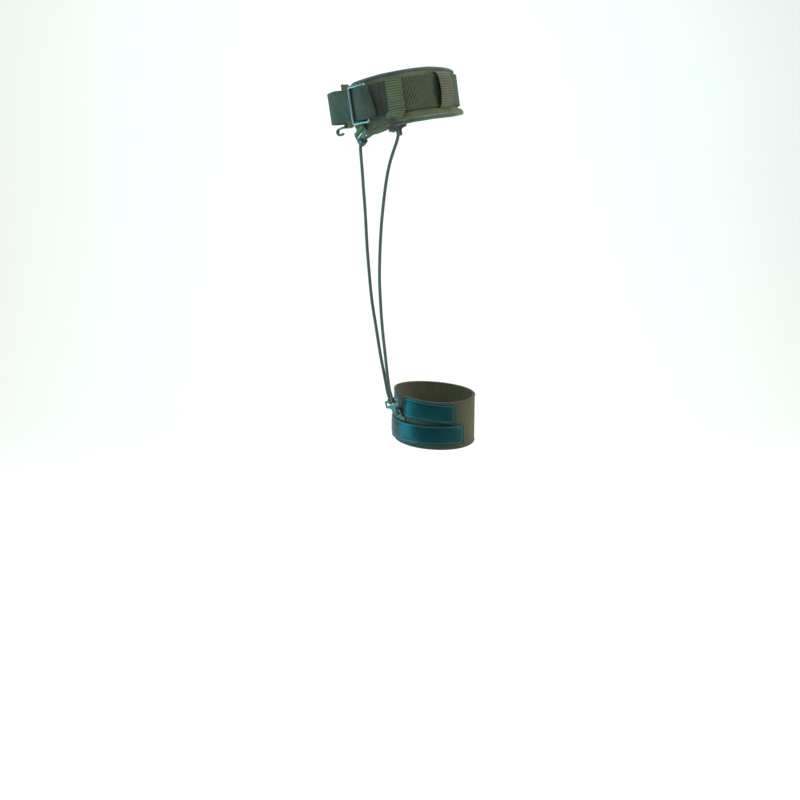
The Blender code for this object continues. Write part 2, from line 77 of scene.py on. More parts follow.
# Distances between rows of points, and the number of rows round the cuff
PAD_STEP = 0.0035
PAD_EDGE_STEP = 0.004
TAPE_STEP = 0.0028
BELT_STEP = 0.0012
SMALL_STEP = 0.0008
FINE_STEP = 0.0007
CUFF_ROWS = 500
STRAP_STEP = 0.0022
STRAP_SEAM_STEP = 0.0042

# Webbing
BELT_WIDTH = 0.050
BELT_THICK = 0.0020
BELT_CORNER = 0.006
LOOP_WIDTH = 0.025
LOOP_THICK = 0.0016
BACK_LOOP_WIDTH = 0.034
BACK_LOOP_THICK = 0.0018
BACK_LOOP_BULGE = 0.0085
BACK_LOOP_ANGLE = math.radians(136)

# Weaves: how far their ribs count along and across the strap, and the ribs' pitch
TWILL = (0.87, -0.50, 0.0046)
RIBS = (1.0, 0.0, 0.0038)
TAPE = (1.0, 0.0, 0.0014)
PLAIN = (1.0, 1.0, 0.0022)

# Ring
RING_HEIGHT = 0.0612
RING_SPAN = 0.036
RING_BAR = 0.005
RING_CORNER = 0.0025
RING_DROP = 0.0013
RING_SAG = 0.003
RING_ANGLE = math.radians(47)
TUCK_LENGTH = 0.022
CLOSURE_END = math.radians(86)
TAIL_LENGTH = 0.010
TAIL_LEAN = 0.0065

# Stitches
STITCH_PITCH = 0.0039
FINE_STITCH_PITCH = 0.0031
STITCH_RADIUS = 0.00036

# Hooks
HOOK_WIDTH = 0.029
HOOK_THICK = 0.0026
HOOK_FRAME = 0.013
HOOK_SLOT = 0.004
HOOK_NECK = 0.008
HOOK_NECK_WIDTH = 0.009
HOOK_CURL = 0.0055
HOOK_CURL_END = math.radians(60)

# Cord
CORD_DIAMETER = 0.005
CORD_STEP = 0.0135
BRAID_STRANDS = 7
BRAID_CELL = 0.0021
BRAID_RELIEF = 0.00022

# Cuff
LEG_RADIUS = 0.064
CUFF_MIDDLE = Vector((0.0635, -0.115, -0.515))
CUFF_THICK = 0.0035
BAND_RIB = 0.0034
BAND_WELT = 0.006
CUFF_TOP = 0.043
CUFF_TOP_LEAN = 0.005
CUFF_TOP_DIP = 0.0065
CUFF_BOTTOM = 0.040
CUFF_BOTTOM_LEAN = 0.003
CUFF_BOTTOM_DIP = 0.0035
STRAP_WIDTH = 0.034
STRAP_THICK = 0.003
STRAP_CORNER = 0.007
STRAP_SEAM = 0.0037
TAB_WIDTH = 0.013
TAB_THICK = 0.0016

PAD_EDGES = np.array((
    # angle, rise, drop, flare
    (42, 0.80, 0.96, 0.00),
    (52, 0.84, 1.00, 0.00),
    (64, 0.89, 1.00, 0.15),
    (77, 0.94, 0.89, 0.35),
    (88, 0.96, 0.77, 0.50),
    (105, 0.99, 0.72, 0.70),
    (125, 1.00, 0.72, 0.90),
    (150, 0.93, 0.78, 1.00),
    (180, 0.88, 0.80, 1.00),
)).T

BACK_LOOP_ROWS = (
    # height as a share of the belt's half width, bulge as a share of the whole bulge
    (-1.12, 0.0), (-1.07, 0.06), (-1.03, 0.40), (-0.88, 0.66), (-0.45, 0.93), (0.10, 1.0),
    (0.62, 0.86), (0.94, 0.60), (1.04, 0.30), (1.09, 0.0), (1.15, 0.0),
)

HOOK_LOOPS = (
    # number, loop angle, slot angle, stand, depth, tilt, swing, turned, sewn, tail
    (1, 89, 85.8, 0.0065, 0.0095, 17, 4, False, False, 0.0),
    (2, 54, 53.2, 0.0020, 0.0231, -30, 0, False, True, 0.0),
    (3, -33, -33.0, 0.0055, 0.0036, 0, 84, True, False, 0.018),
    (4, -89, -89.0, 0.0055, 0.0095, 0, 4, False, False, 0.0),
)

CUFF_HOOK_ANGLE = math.radians(33)
CUFF_HOOK_FACING = math.radians(50)
CUFF_HOOK_STAND = 0.0200
CUFF_HOOK_HEIGHT = 0.030
CUFF_HOOK_TILT = math.radians(22)

CUFF_STRAPS = (
    # name, start, end, height, lean
    ("cuff_strap_upper", 42, 118, 0.0187, 0.0095),
    ("cuff_strap_lower", -62, 132, -0.0186, 0.0020),
)

CORD_ROUTE = (
    (-0.0119, -0.1566, -0.4765),
    (-0.0142, -0.1547, -0.4691),
    (-0.0168, -0.1535, -0.4560),
    (-0.0200, -0.1532, -0.4380),
    (-0.0262, -0.1540, -0.4040),
    (-0.0328, -0.1555, -0.3600),
    (-0.0392, -0.1565, -0.3170),
    (-0.0432, -0.1560, -0.2740),
    (-0.0466, -0.1535, -0.2280),
    (-0.0488, -0.1495, -0.1830),
    (-0.0515, -0.1440, -0.1450),
    (-0.0542, -0.1370, -0.1080),
    (-0.0560, -0.1310, -0.0870),
    (-0.0565, -0.1291, -0.0784),
    (-0.0557, -0.1295, -0.0738),
    (-0.0535, -0.1321, -0.0686),
    (-0.0510, -0.1344, -0.0665),
    (-0.0440, -0.1396, -0.0618),
    (-0.0345, -0.1464, -0.0562),
    (-0.0240, -0.1538, -0.0515),
    (-0.0119, -0.1618, -0.0491),
    (-0.0057, -0.1639, -0.0489),
    (-0.0010, -0.1643, -0.0509),
    (0.0023, -0.1646, -0.0549),
    (0.0030, -0.1646, -0.0600),
    (0.0010, -0.1644, -0.0690),
    (-0.0035, -0.1640, -0.0820),
    (-0.0112, -0.1635, -0.1070),
    (-0.0178, -0.1630, -0.1450),
    (-0.0240, -0.1630, -0.2050),
    (-0.0267, -0.1630, -0.2730),
    (-0.0250, -0.1620, -0.3250),
    (-0.0222, -0.1605, -0.3650),
    (-0.0183, -0.1600, -0.4030),
    (-0.0146, -0.1590, -0.4390),
    (-0.0120, -0.1582, -0.4590),
    (-0.0103, -0.1580, -0.4670),
    (-0.0080, -0.1599, -0.4744),
)

BELT_IN = PAD_THICK + LOOP_THICK + 2 * SLACK
BELT_OUT = BELT_IN + BELT_THICK
RING_OUT = BELT_OUT + CLEAR + RING_BAR / 2


# Shapes shared with the frame

def smooth(low, high, value):
    share = min(1.0, max(0.0, (value - low) / (high - low)))
    return share * share * (3 - 2 * share)


def from_front(angle):
    return abs((angle + math.pi) % TURN - math.pi)


def tilted(x, y, height):
    cosine = math.cos(BELT_TILT)
    sine = math.sin(BELT_TILT)
    return Vector((cosine * x - sine * height, y, sine * x + cosine * height))


def waist_point(angle, out, height):
    """A place round the waist: angle from the front over the left side, stand outside the body, height."""
    out += BELLY_STAND * (1 - smooth(0, BELLY_REACH, from_front(angle)))
    x = -(WAIST_HALF_DEPTH + out) * math.cos(angle)
    y = -(WAIST_HALF_WIDTH + out) * math.sin(angle)
    return tilted(x, y, height)


def belt_point(angle, out, height):
    """The same round the belt, which sags a little under its ring."""
    away = abs(from_front(angle) - RING_ANGLE - math.radians(8))
    left = math.sin(angle) > 0
    sag = RING_SAG * (1 - smooth(math.radians(11), math.radians(34), away)) if left else 0.0
    return waist_point(angle, out, height - sag)


def waist_speed(angle):
    """Metres of belt for a radian of angle."""
    depth = (WAIST_HALF_DEPTH + BELT_OUT) * math.sin(angle)
    width = (WAIST_HALF_WIDTH + BELT_OUT) * math.cos(angle)
    return math.hypot(depth, width)


def cuff_point(angle, stand, height):
    radius = LEG_RADIUS + stand
    return CUFF_MIDDLE + Vector((-radius * math.cos(angle), -radius * math.sin(angle), height))


def corner_cut(edge, corner):
    if edge >= corner:
        return 0.0
    return corner - math.sqrt(max(0.0, corner * corner - (corner - edge) ** 2))


def pad_edge(angle, column):
    return float(np.interp(math.degrees(from_front(angle)), PAD_EDGES[0], PAD_EDGES[column]))


def pad_end_cut(angle):
    return corner_cut((from_front(angle) - PAD_END) * waist_speed(PAD_END), PAD_CORNER)


def pad_top(angle):
    return PAD_RISE * pad_edge(angle, 1) - pad_end_cut(angle)


def pad_bottom(angle):
    return -PAD_DROP * pad_edge(angle, 2) + pad_end_cut(angle)


def pad_point(angle, out, height):
    lower = -BELT_WIDTH / 2 - SLACK
    depth = PAD_DROP * pad_edge(angle, 2) + lower
    share = min(1.2, max(0.0, (lower - height) / depth))
    return waist_point(angle, out + PAD_FLARE * pad_edge(angle, 3) * share ** 1.5, height)


# Grids, shells and tubes

def even(start, end, count):
    return [start + (end - start) * i / (count - 1) for i in range(count)]


def eased(start, end, corner, count):
    """Angles from start to end, closer together within the corner at each end."""
    ease = [corner * (1 - math.cos(math.pi / 2 * i / 8)) for i in range(9)]
    middle = even(start + corner, end - corner, count)[1:-1]
    return [start + e for e in ease] + middle + [end - e for e in reversed(ease)]


def spread(width, step, edge):
    """Places across a width, closer together at both edges."""
    ease = [edge * (1 - math.cos(math.pi / 2 * i / 4)) for i in range(5)]
    count = max(2, round((width - 2 * edge) / step) + 1)
    middle = even(edge, width - edge, count)[1:-1]
    return np.array(ease + middle + [width - x for x in reversed(ease)]) - width / 2


def smooth_rows(rows, pieces=None):
    """Rows of points joined by a smooth curve, with pieces between each pair, or by the cord's step."""
    rows = np.array(rows, float)
    ends = np.concatenate([[2 * rows[0] - rows[1]], rows, [2 * rows[-1] - rows[-2]]])
    line = [rows[0]]
    for a, b, c, d in zip(ends, ends[1:], ends[2:], ends[3:]):
        count = pieces or 3 * max(1, round(np.linalg.norm(c - b) / CORD_STEP))
        for piece in range(1, count + 1):
            t = piece / count
            bend = (2 * a - 5 * b + 4 * c - d) * t * t + (3 * b - a - 3 * c + d) * t ** 3
            line.append(0.5 * (2 * b + (c - a) * t + bend))
    return np.array(line)


def cut_corners(rows, share, times, closed=False):
    """Rows of points with their corners cut round, without swinging outside them."""
    rows = np.array(rows, float)
    for _ in range(times):
        line = np.concatenate([rows, rows[:1]]) if closed else rows
        mixed = np.empty((2 * len(line) - 2,) + rows.shape[1:])
        mixed[0::2] = line[:-1] * (1 - share) + line[1:] * share
        mixed[1::2] = line[:-1] * share + line[1:] * (1 - share)
        rows = mixed if closed else np.concatenate([rows[:1], mixed, rows[-1:]])
    return rows


def lengths(points, axis=0):
    """Distances from the first point, along a line or one axis of a grid."""
    steps = np.linalg.norm(np.diff(points, axis=axis), axis=-1)
    return np.insert(np.cumsum(steps, axis=axis), 0, 0.0, axis=axis)


def even_rows(rows, step, scale=1.0):
    """The same rows, a step apart along their middle; step lengths are measured after scaling."""
    rows = np.array(rows, float)
    middle = rows[:, rows.shape[1] // 2] if rows.ndim == 3 else rows
    along = lengths(middle * scale)
    count = max(2, round(along[-1] / step) + 1)
    targets = np.linspace(0.0, along[-1], count)
    flat = rows.reshape(len(rows), -1)
    made = np.stack([np.interp(targets, along, column) for column in flat.T], axis=1)
    return made.reshape((count,) + rows.shape[1:])


def unit(vectors):
    length = np.linalg.norm(vectors, axis=-1, keepdims=True)
    return vectors / np.maximum(length, 1e-12)


def slope(grid, axis, closed):
    """Differences along one axis of a grid of points."""
    if closed:
        return np.roll(grid, -1, axis) - np.roll(grid, 1, axis)
    return np.gradient(grid, axis=axis)


def new_object(name, data):
    made = bpy.data.objects.new(name, data)
    bpy.context.scene.collection.objects.link(made)
    return made


def new_piece(name, mesh, finish):
    mesh.materials.append(finish)
    mesh.shade_smooth()
    return new_object(name, mesh)


def modify(piece, name, kind, **settings):
    modifier = piece.modifiers.new(name, kind)
    for setting, value in settings.items():
        setattr(modifier, setting, value)


def make_object(name, vertices, faces, finish, uvs=None):
    mesh = bpy.data.meshes.new(name)
    mesh.from_pydata([tuple(v) for v in vertices], [], faces)
    if uvs is not None:
        layer = mesh.uv_layers.new(name="weave")
        layer.data.foreach_set("uv", np.array(uvs, np.float32).ravel())
    mesh.update()
    return new_piece(name, mesh, finish)


def second_finish(piece, finish, chosen):
    """Another finish on the chosen faces."""
    piece.data.materials.append(finish)
    piece.data.polygons.foreach_set("material_index", np.array(chosen, np.int32))


def plate(name, rows, opening, finish, thick):
    """A sheet through rows of points, thick to both sides, without the faces of its opening."""
    grid = bmesh.new()
    points = [[grid.verts.new(p) for p in row] for row in rows]
    for i in range(len(rows) - 1):
        for j in range(len(rows[0]) - 1):
            if (i, j) not in opening:
                grid.faces.new((points[i][j], points[i][j + 1], points[i + 1][j + 1], points[i + 1][j]))
    bmesh.ops.recalc_face_normals(grid, faces=grid.faces)
    mesh = bpy.data.meshes.new(name)
    grid.to_mesh(mesh)
    grid.free()
    made = new_piece(name, mesh, finish)
    modify(made, "thickness", "SOLIDIFY", thickness=thick, offset=0.0)
    return made


def shell(name, grid, thick, finish, relief, offset=0.0, back_relief=None, closed=False):
    """A soft sheet on a grid: rows along its length, columns across it, with rounded edges.

    offset 1 puts the thickness outside the grid. relief(u, v, away) lifts the outer face: u is the
    length, v the place across and away the distance to the nearest edge.
    """
    grid = np.array(grid, float)
    rows, columns = grid.shape[:2]
    normals = unit(np.cross(slope(grid, 0, closed), slope(grid, 1, False)))
    middle = grid + normals * thick / 2 * offset
    right = lengths(middle, 1)
    v = right - right[:, -1:] / 2
    line = middle[:, columns // 2]
    u_line = lengths(line)
    total = u_line[-1] + (np.linalg.norm(line[0] - line[-1]) if closed else 0.0)
    u = np.repeat(u_line[:, None], columns, axis=1)
    away = np.minimum(right, right[:, -1:] - right)
    if not closed:
        away = np.minimum(away, np.minimum(u, total - u))
    round_off = np.sqrt(1 - np.clip(1 - away / (thick / 2), 0.0, 1.0) ** 2)
    half = thick / 2 * round_off
    lift = half + relief(u, v, away) * round_off
    sink = half + (back_relief(u, v, away) * round_off if back_relief else 0.0)
    top = middle + normals * lift[..., None]
    bottom = middle - normals * sink[..., None]

    inside = np.zeros((rows, columns), bool)
    inside[slice(None) if closed else slice(1, -1), 1:-1] = True
    lower = np.arange(rows * columns).reshape(rows, columns)
    lower[inside] = rows * columns + np.arange(inside.sum())
    lower = lower.tolist()
    vertices = list(top.reshape(-1, 3)) + list(bottom[inside])
    faces, uvs = [], []
    for i in range(rows if closed else rows - 1):
        k = (i + 1) % rows
        start, end = u_line[i], total if k < i else u_line[k]
        for j in range(columns - 1):
            a, b = i * columns + j, k * columns + j
            faces.append((a, b, b + 1, a + 1))
            faces.append((lower[i][j], lower[i][j + 1], lower[k][j + 1], lower[k][j]))
            corners = ((start, v[i, j]), (end, v[k, j]), (end, v[k, j + 1]), (start, v[i, j + 1]))
            uvs.extend(corners + (corners[0], corners[3], corners[2], corners[1]))
    made = make_object(name, vertices, faces, finish, uvs)
    return {"object": made, "top": top, "bottom": bottom, "normals": normals, "u": u_line, "v": v}


def ring_faces(marks, ring, wide, closed):
    """Faces between rings of points, and their weave; marks are the lengths at the rings' ends."""
    count = len(marks) - 1
    faces, uvs = [], []
    for i in range(count if closed else count - 1):
        k = (i + 1) % count
        start, end = marks[i], marks[i + 1]
        for j in range(ring):
            m = (j + 1) % ring
            faces.append((i * ring + j, i * ring + m, k * ring + m, k * ring + j))
            left, right = j * wide, (j + 1) * wide
            uvs.extend(((start, left), (start, right), (end, right), (end, left)))
    return faces, uvs


def tube(name, points, radius, sides, finish, closed=False, relief=None, start_up=(0, 0, 1), squash=1.0):
    """A tube along points. relief(u, turn) is added to the radius; squash flattens it along its up."""
    points = np.array(points, float)
    tangents = unit(slope(points, 0, closed))
    up = np.array(start_up, float)
    ups = []
    for tangent in tangents:
        up = unit(up - tangent * np.dot(up, tangent))
        ups.append(up)
    rights = np.cross(tangents, ups)
    u_line = lengths(points)
    u, turn = np.meshgrid(u_line, np.linspace(0, TURN, sides, endpoint=False), indexing="ij")
    radii = radius + (relief(u, turn) if relief else 0.0)
    beside = rights[:, None] * (np.cos(turn) * radii)[..., None]
    above = np.array(ups)[:, None] * (np.sin(turn) * radii * squash)[..., None]
    count = len(points)
    vertices = list((points[:, None] + beside + above).reshape(-1, 3))
    marks = np.append(u_line, u_line[-1] + np.linalg.norm(points[0] - points[-1]))
    faces, uvs = ring_faces(marks, sides, TURN * radius / sides, closed)
    for ring, outward in () if closed else ((0, -1), (count - 1, 1)):
        centre = len(vertices)
        vertices.append(points[ring] + tangents[ring] * outward * radius * 0.35)
        for j in range(sides):
            pair = (ring * sides + j, ring * sides + (j + 1) % sides)[::outward]
            faces.append((*pair, centre))
            uvs.extend(((u_line[ring], 0.0), (u_line[ring], 0.001), (u_line[ring], 0.0005)))
    return make_object(name, vertices, faces, finish, uvs)


# Stitches

def mark_before(marks, value):
    """The last mark before a value, and how far the value is on the way to the next."""
    i = int(np.clip(np.searchsorted(marks, value) - 1, 0, len(marks) - 2))
    return i, (value - marks[i]) / max(1e-9, marks[i + 1] - marks[i])


def on_shell(made, u, v, back):
    """A place and the outward direction on a shell's face, at a length and a place across."""
    i, s = mark_before(made["u"], u)
    j, t = mark_before(made["v"][i], v)
    t = float(np.clip(t, 0, 1))
    face = made["bottom"] if back else made["top"]
    first = face[i, j] * (1 - t) + face[i, j + 1] * t
    second = face[i + 1, j] * (1 - t) + face[i + 1, j + 1] * t
    return first * (1 - s) + second * s, made["normals"][i, j] * (-1 if back else 1)


def stitch(vertices, faces, start, end, normal):
    """One stitch: a short thread that dips at both ends."""
    along = end - start
    side = np.cross(unit(along), normal)
    first = len(vertices)
    profile = ((0.0, 0.35, -0.9), (0.14, 0.95, -0.1), (0.5, 1.0, 0.3), (0.86, 0.95, -0.1), (1.0, 0.35, -0.9))
    sides = 5
    for share, wide, high in profile:
        centre = start + along * share + normal * STITCH_RADIUS * high
        for k in range(sides):
            turn = TURN * k / sides
            spoke = side * math.cos(turn) + normal * math.sin(turn)
            vertices.append(centre + spoke * STITCH_RADIUS * wide)
    last = first + (len(profile) - 1) * sides
    for a in range(first, last, sides):
        for k in range(sides):
            m = (k + 1) % sides
            faces.append((a + k, a + m, a + sides + m, a + sides + k))
    faces.append(tuple(first + k for k in reversed(range(sides))))
    faces.append(tuple(last + k for k in range(sides)))


def stitching(name, slot, runs, finish, pitch=STITCH_PITCH):
    """Rows of stitches; each run is a shell, the corners of its line as (u, v) and its side."""
    vertices, faces = [], []
    for made, corners, back in runs:
        for start, end in zip(corners, corners[1:]):
            start, end = np.array(start), np.array(end)
            count = max(1, round(np.linalg.norm(end - start) / pitch))
            for i in range(count):
                place, normal = on_shell(made, *(start + (end - start) * (i + 0.1) / count), back)
                place_after, _ = on_shell(made, *(start + (end - start) * (i + 0.9) / count), back)
                stitch(vertices, faces, place, place_after, normal)
    finish_piece(make_object(name, vertices, faces, finish), slot)


def seam_across(made, at, half):
    """A run straight across a shell's outer face."""
    return made, ((at, -half), (at, half)), False


def ripples(seed, size):
    """Gentle unevenness over a length and a place across, between about -1 and 1."""
    maker = random.Random(seed)
    waves = [(maker.uniform(-1, 1), maker.uniform(-1, 1), maker.uniform(0, TURN)) for _ in range(5)]

    def height(u, v):
        return 0.32 * sum(np.sin(TURN * (a * u + b * v) / size + phase) for a, b, phase in waves)

    return height


# Materials

def tree_of(name):
    made = bpy.data.materials.new(name)
    made.use_nodes = True
    return made, made.node_tree, made.node_tree.nodes["Principled BSDF"]


def set_inputs(node, **values):
    """Unlinked values by their names, with _ for each space."""
    for name, value in values.items():
        node.inputs[name.replace("_", " ")].default_value = value


def math_node(tree, operation, first, second=0.0, third=0.0):
    node = tree.nodes.new("ShaderNodeMath")
    node.operation = operation
    for i, value in enumerate((first, second, third)):
        if isinstance(value, (int, float)):
            node.inputs[i].default_value = value
        else:
            tree.links.new(value, node.inputs[i])
    return node.outputs[0]


def weighed(tree, *parts):
    """The sum of sockets, each times its weight."""
    made = 0.0
    for socket, weight in parts:
        made = math_node(tree, "MULTIPLY_ADD", socket, weight, made)
    return made


def uv_lengths(tree):
    """The length along and the place across a strap, in metres."""
    place = tree.nodes.new("ShaderNodeUVMap")
    place.uv_map = "weave"
    parts = tree.nodes.new("ShaderNodeSeparateXYZ")
    tree.links.new(place.outputs[0], parts.inputs[0])
    return parts.outputs[0], parts.outputs[1]


def wave(tree, value, pitch):
    """0 to 1 and back over each pitch."""
    turned = math_node(tree, "MULTIPLY", value, TURN / pitch)
    return math_node(tree, "MULTIPLY_ADD", math_node(tree, "SINE", turned), 0.5, 0.5)


def noise(tree, scale, detail=3.0, roughness=0.55, stretch=(1.0, 1.0, 1.0)):
    place = tree.nodes.new("ShaderNodeTexCoord")
    stretched = tree.nodes.new("ShaderNodeVectorMath")
    stretched.operation = "MULTIPLY"
    stretched.inputs[1].default_value = stretch
    tree.links.new(place.outputs["Object"], stretched.inputs[0])
    node = tree.nodes.new("ShaderNodeTexNoise")
    set_inputs(node, Scale=scale, Detail=detail, Roughness=roughness)
    tree.links.new(stretched.outputs[0], node.inputs["Vector"])
    return node.outputs["Fac"]


def colour_range(tree, shader, share, dark, light, low=0.0, high=1.0):
    """Dark to light while the share goes from low to high."""
    ramp = tree.nodes.new("ShaderNodeValToRGB")
    first, last = ramp.color_ramp.elements
    first.color, last.color = (*dark, 1.0), (*light, 1.0)
    first.position, last.position = low, high
    tree.links.new(share, ramp.inputs[0])
    tree.links.new(ramp.outputs[0], shader.inputs["Base Color"])


def add_bump(tree, shader, height, distance, strength):
    node = tree.nodes.new("ShaderNodeBump")
    set_inputs(node, Distance=distance, Strength=strength)
    tree.links.new(height, node.inputs["Height"])
    tree.links.new(node.outputs[0], shader.inputs["Normal"])


def rough_range(tree, shader, share, low, high):
    node = tree.nodes.new("ShaderNodeMapRange")
    set_inputs(node, To_Min=low, To_Max=high)
    tree.links.new(share, node.inputs["Value"])
    tree.links.new(node.outputs[0], shader.inputs["Roughness"])


def cloth_gloss(shader, specular, sheen, roughness=0.5, tint=(1.0, 1.0, 1.0)):
    set_inputs(shader, Specular_IOR_Level=specular, Sheen_Weight=sheen)
    set_inputs(shader, Sheen_Roughness=roughness, Sheen_Tint=(*tint, 1.0))


def webbing(name, dark, light, weave, sheen=0.06):
    """Woven strap: ribs of its weave, yarns, fuzz and faded patches."""
    made, tree, shader = tree_of(name)
    u, v = uv_lengths(tree)
    along, across, pitch = weave
    rib = wave(tree, weighed(tree, (u, along), (v, across)), pitch)
    yarns = math_node(tree, "MULTIPLY", wave(tree, v, 0.0011), wave(tree, u, 0.0009))
    height = weighed(tree, (rib, 0.70), (yarns, 0.30), (noise(tree, 1400, 2.0), 0.22))
    add_bump(tree, shader, height, 0.0007, 0.9)
    shade = weighed(tree, (rib, 0.42), (noise(tree, 34, 4.0), 0.62), (yarns, 0.16))
    colour_range(tree, shader, shade, dark, light, 0.18, 0.86)
    rough_range(tree, shader, height, 0.82, 0.60)
    cloth_gloss(shader, 0.28, sheen, 0.45, (0.70, 0.90, 0.84))
    return made


def pile(name, dark, light):
    """Brushed loop fabric: short fuzz with a soft lay and worn patches."""
    made, tree, shader = tree_of(name)
    fuzz = noise(tree, 1600, 3.0, 0.65)
    lay = noise(tree, 420, 3.0, 0.6, (1.0, 1.0, 0.35))
    add_bump(tree, shader, weighed(tree, (lay, 0.7), (fuzz, 1.0)), 0.0006, 0.9)
    shade = weighed(tree, (lay, 0.45), (noise(tree, 38, 4.0), 0.6))
    colour_range(tree, shader, shade, dark, light, 0.30, 0.75)
    rough_range(tree, shader, fuzz, 0.70, 0.92)
    cloth_gloss(shader, 0.2, 0.06, 0.5, (0.60, 0.90, 0.85))
    return made


def knit(name, dark, light, pitch):
    """Laminated knit: small rows of loops over a soft, slightly mottled ground."""
    made, tree, shader = tree_of(name)
    u, v = uv_lengths(tree)
    rows = wave(tree, v, pitch)
    shifted = weighed(tree, (rows, pitch * 0.6), (u, 1.0))
    loops = math_node(tree, "MULTIPLY", rows, wave(tree, shifted, pitch * 1.2))
    fuzz = noise(tree, 900, 3.0)
    add_bump(tree, shader, weighed(tree, (fuzz, 0.45), (loops, 1.0)), 0.0005, 0.8)
    shade = weighed(tree, (loops, 0.35), (noise(tree, 26, 4.0), 0.75))
    colour_range(tree, shader, shade, dark, light, 0.2, 0.9)
    rough_range(tree, shader, fuzz, 0.68, 0.92)
    cloth_gloss(shader, 0.25, 0.08)
    return made


def plastic(name, dark, light, roughness, gloss=1.5):
    """Moulded plastic with faint flow marks, fine texture and rubbed patches."""
    made, tree, shader = tree_of(name)
    flow = noise(tree, 60, 5.0, 0.6)
    colour_range(tree, shader, flow, dark, light, 0.3, 0.75)
    add_bump(tree, shader, weighed(tree, (flow, 0.8), (noise(tree, 2200, 2.0), 1.0)), 0.00012, 0.7)
    rough_range(tree, shader, flow, roughness - 0.06, roughness + 0.14)
    set_inputs(shader, IOR=gloss, Coat_Weight=0.08, Coat_Roughness=0.12)
    return made


def leather(name, dark, light):
    """Coated fabric with a pebbled grain, creases and a soft gloss; its teal specular tint paints a teal
    reflection.
    """
    made, tree, shader = tree_of(name)
    place = tree.nodes.new("ShaderNodeTexCoord")
    grain = tree.nodes.new("ShaderNodeTexVoronoi")
    grain.feature = "SMOOTH_F1"
    set_inputs(grain, Scale=900)
    tree.links.new(place.outputs["Object"], grain.inputs["Vector"])
    crease = noise(tree, 90, 5.0, 0.65, (1.0, 1.0, 2.2))
    pebble = math_node(tree, "SUBTRACT", 1.0, grain.outputs["Distance"])
    height = weighed(tree, (crease, 0.8), (pebble, 0.4), (noise(tree, 1500, 2.0), 0.10))
    add_bump(tree, shader, height, 0.0003, 0.6)
    colour_range(tree, shader, noise(tree, 22, 4.0), dark, light, 0.35, 0.72)
    rough_range(tree, shader, crease, 0.32, 0.48)
    # The teal Specular Tint is a painted teal reflection on the black coating.
    set_inputs(shader, Specular_IOR_Level=0.40, Specular_Tint=(0.05, 0.72, 0.85, 1.0))
    set_inputs(shader, Coat_Weight=0.04, Coat_Roughness=0.30)
    return made


def elastic(name, dark, light):
    """Covered elastic: fine warp threads between the modelled ribs."""
    made, tree, shader = tree_of(name)
    u, v = uv_lengths(tree)
    thread = math_node(tree, "MULTIPLY", wave(tree, v, 0.0010), wave(tree, u, 0.00085))
    height = weighed(tree, (thread, 0.6), (noise(tree, 1200, 2.0), 0.35))
    add_bump(tree, shader, height, 0.0005, 0.8)
    shade = weighed(tree, (wave(tree, u, BAND_RIB), 0.5), (noise(tree, 30, 4.0), 0.55))
    colour_range(tree, shader, shade, dark, light, 0.15, 0.9)
    rough_range(tree, shader, height, 0.60, 0.88)
    cloth_gloss(shader, 0.25, 0.10, 0.4)
    return made


def braid(name, dark, light):
    """Braided sheath: fine yarns on the modelled strands."""
    made, tree, shader = tree_of(name)
    u, v = uv_lengths(tree)
    yarn = wave(tree, math_node(tree, "ADD", u, v), 0.0007)
    other = wave(tree, math_node(tree, "SUBTRACT", u, v), 0.0007)
    height = weighed(tree, (yarn, 0.5), (other, 0.5))
    add_bump(tree, shader, height, 0.0003, 0.8)
    shade = weighed(tree, (height, 0.4), (noise(tree, 60, 4.0), 0.7))
    colour_range(tree, shader, shade, dark, light)
    rough_range(tree, shader, height, 0.42, 0.66)
    cloth_gloss(shader, 0.4, 0.05)
    return made


def plain(name, colour, roughness, scale=600, depth=0.7):
    """Thread or floor: one colour with a slight mottle."""
    made, tree, shader = tree_of(name)
    darker = tuple(c * depth for c in colour)
    colour_range(tree, shader, noise(tree, scale, 3.0), darker, colour)
    set_inputs(shader, Roughness=roughness)
    return made


BELT_FINISH = webbing("belt_webbing", (0.007, 0.013, 0.005), (0.036, 0.054, 0.026), TWILL)
BELLY_FINISH = pile("belly_pile", (0.010, 0.015, 0.010), (0.032, 0.042, 0.030))
LOOP_FINISH = webbing("loop_webbing", (0.012, 0.018, 0.008), (0.088, 0.114, 0.058), RIBS)
BACK_LOOP_FINISH = webbing("back_loop_webbing", (0.016, 0.018, 0.010), (0.080, 0.082, 0.050), RIBS)
TAB_FINISH = webbing("tab_webbing", (0.024, 0.050, 0.045), (0.120, 0.190, 0.170), PLAIN)
# The binding tape is one material drawn as two lit copies: the upper half dark teal with a strong teal
# sheen, a painted highlight on its top-lit edge; the lower half lighter olive, painted light on the lower
# rim.
UPPER_TAPE_PAINTED_TEAL_SHEEN = webbing("upper_tape_painted_teal_sheen", (0.005, 0.012, 0.009), (0.026, 0.052, 0.042), TAPE, 0.35)
LOWER_TAPE_PAINTED_LIGHT = webbing("lower_tape_painted_light", (0.014, 0.017, 0.006), (0.098, 0.108, 0.048), TAPE, 0.1)
PAD_FINISH = knit("pad_knit", (0.034, 0.040, 0.022), (0.170, 0.190, 0.108), 0.0013)
HOOK_FINISH = plastic("hook_plastic", (0.006, 0.009, 0.007), (0.022, 0.028, 0.021), 0.40)
RING_FINISH = plastic("ring_plastic", (0.004, 0.008, 0.010), (0.012, 0.020, 0.024), 0.20, 2.2)
# The black strap coating gets teal base colours: a painted teal reflection.
STRAP_PAINTED_TEAL_REFLECTION = leather("strap_leather_painted_teal_reflection", (0.0004, 0.007, 0.008), (0.002, 0.018, 0.021))
BAND_FINISH = elastic("band_elastic", (0.008, 0.008, 0.003), (0.060, 0.060, 0.028))
CORD_FINISH = braid("cord_braid", (0.009, 0.016, 0.010), (0.050, 0.068, 0.043))
THREAD_FINISH = plain("seam_thread", (0.110, 0.165, 0.140), 0.6)
DARK_THREAD = plain("dark_thread", (0.012, 0.018, 0.015), 0.6)


def finish_piece(piece, slot, *nodes):
    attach(piece, "root")
    if nodes:
        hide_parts(*nodes)


# Camera and cord

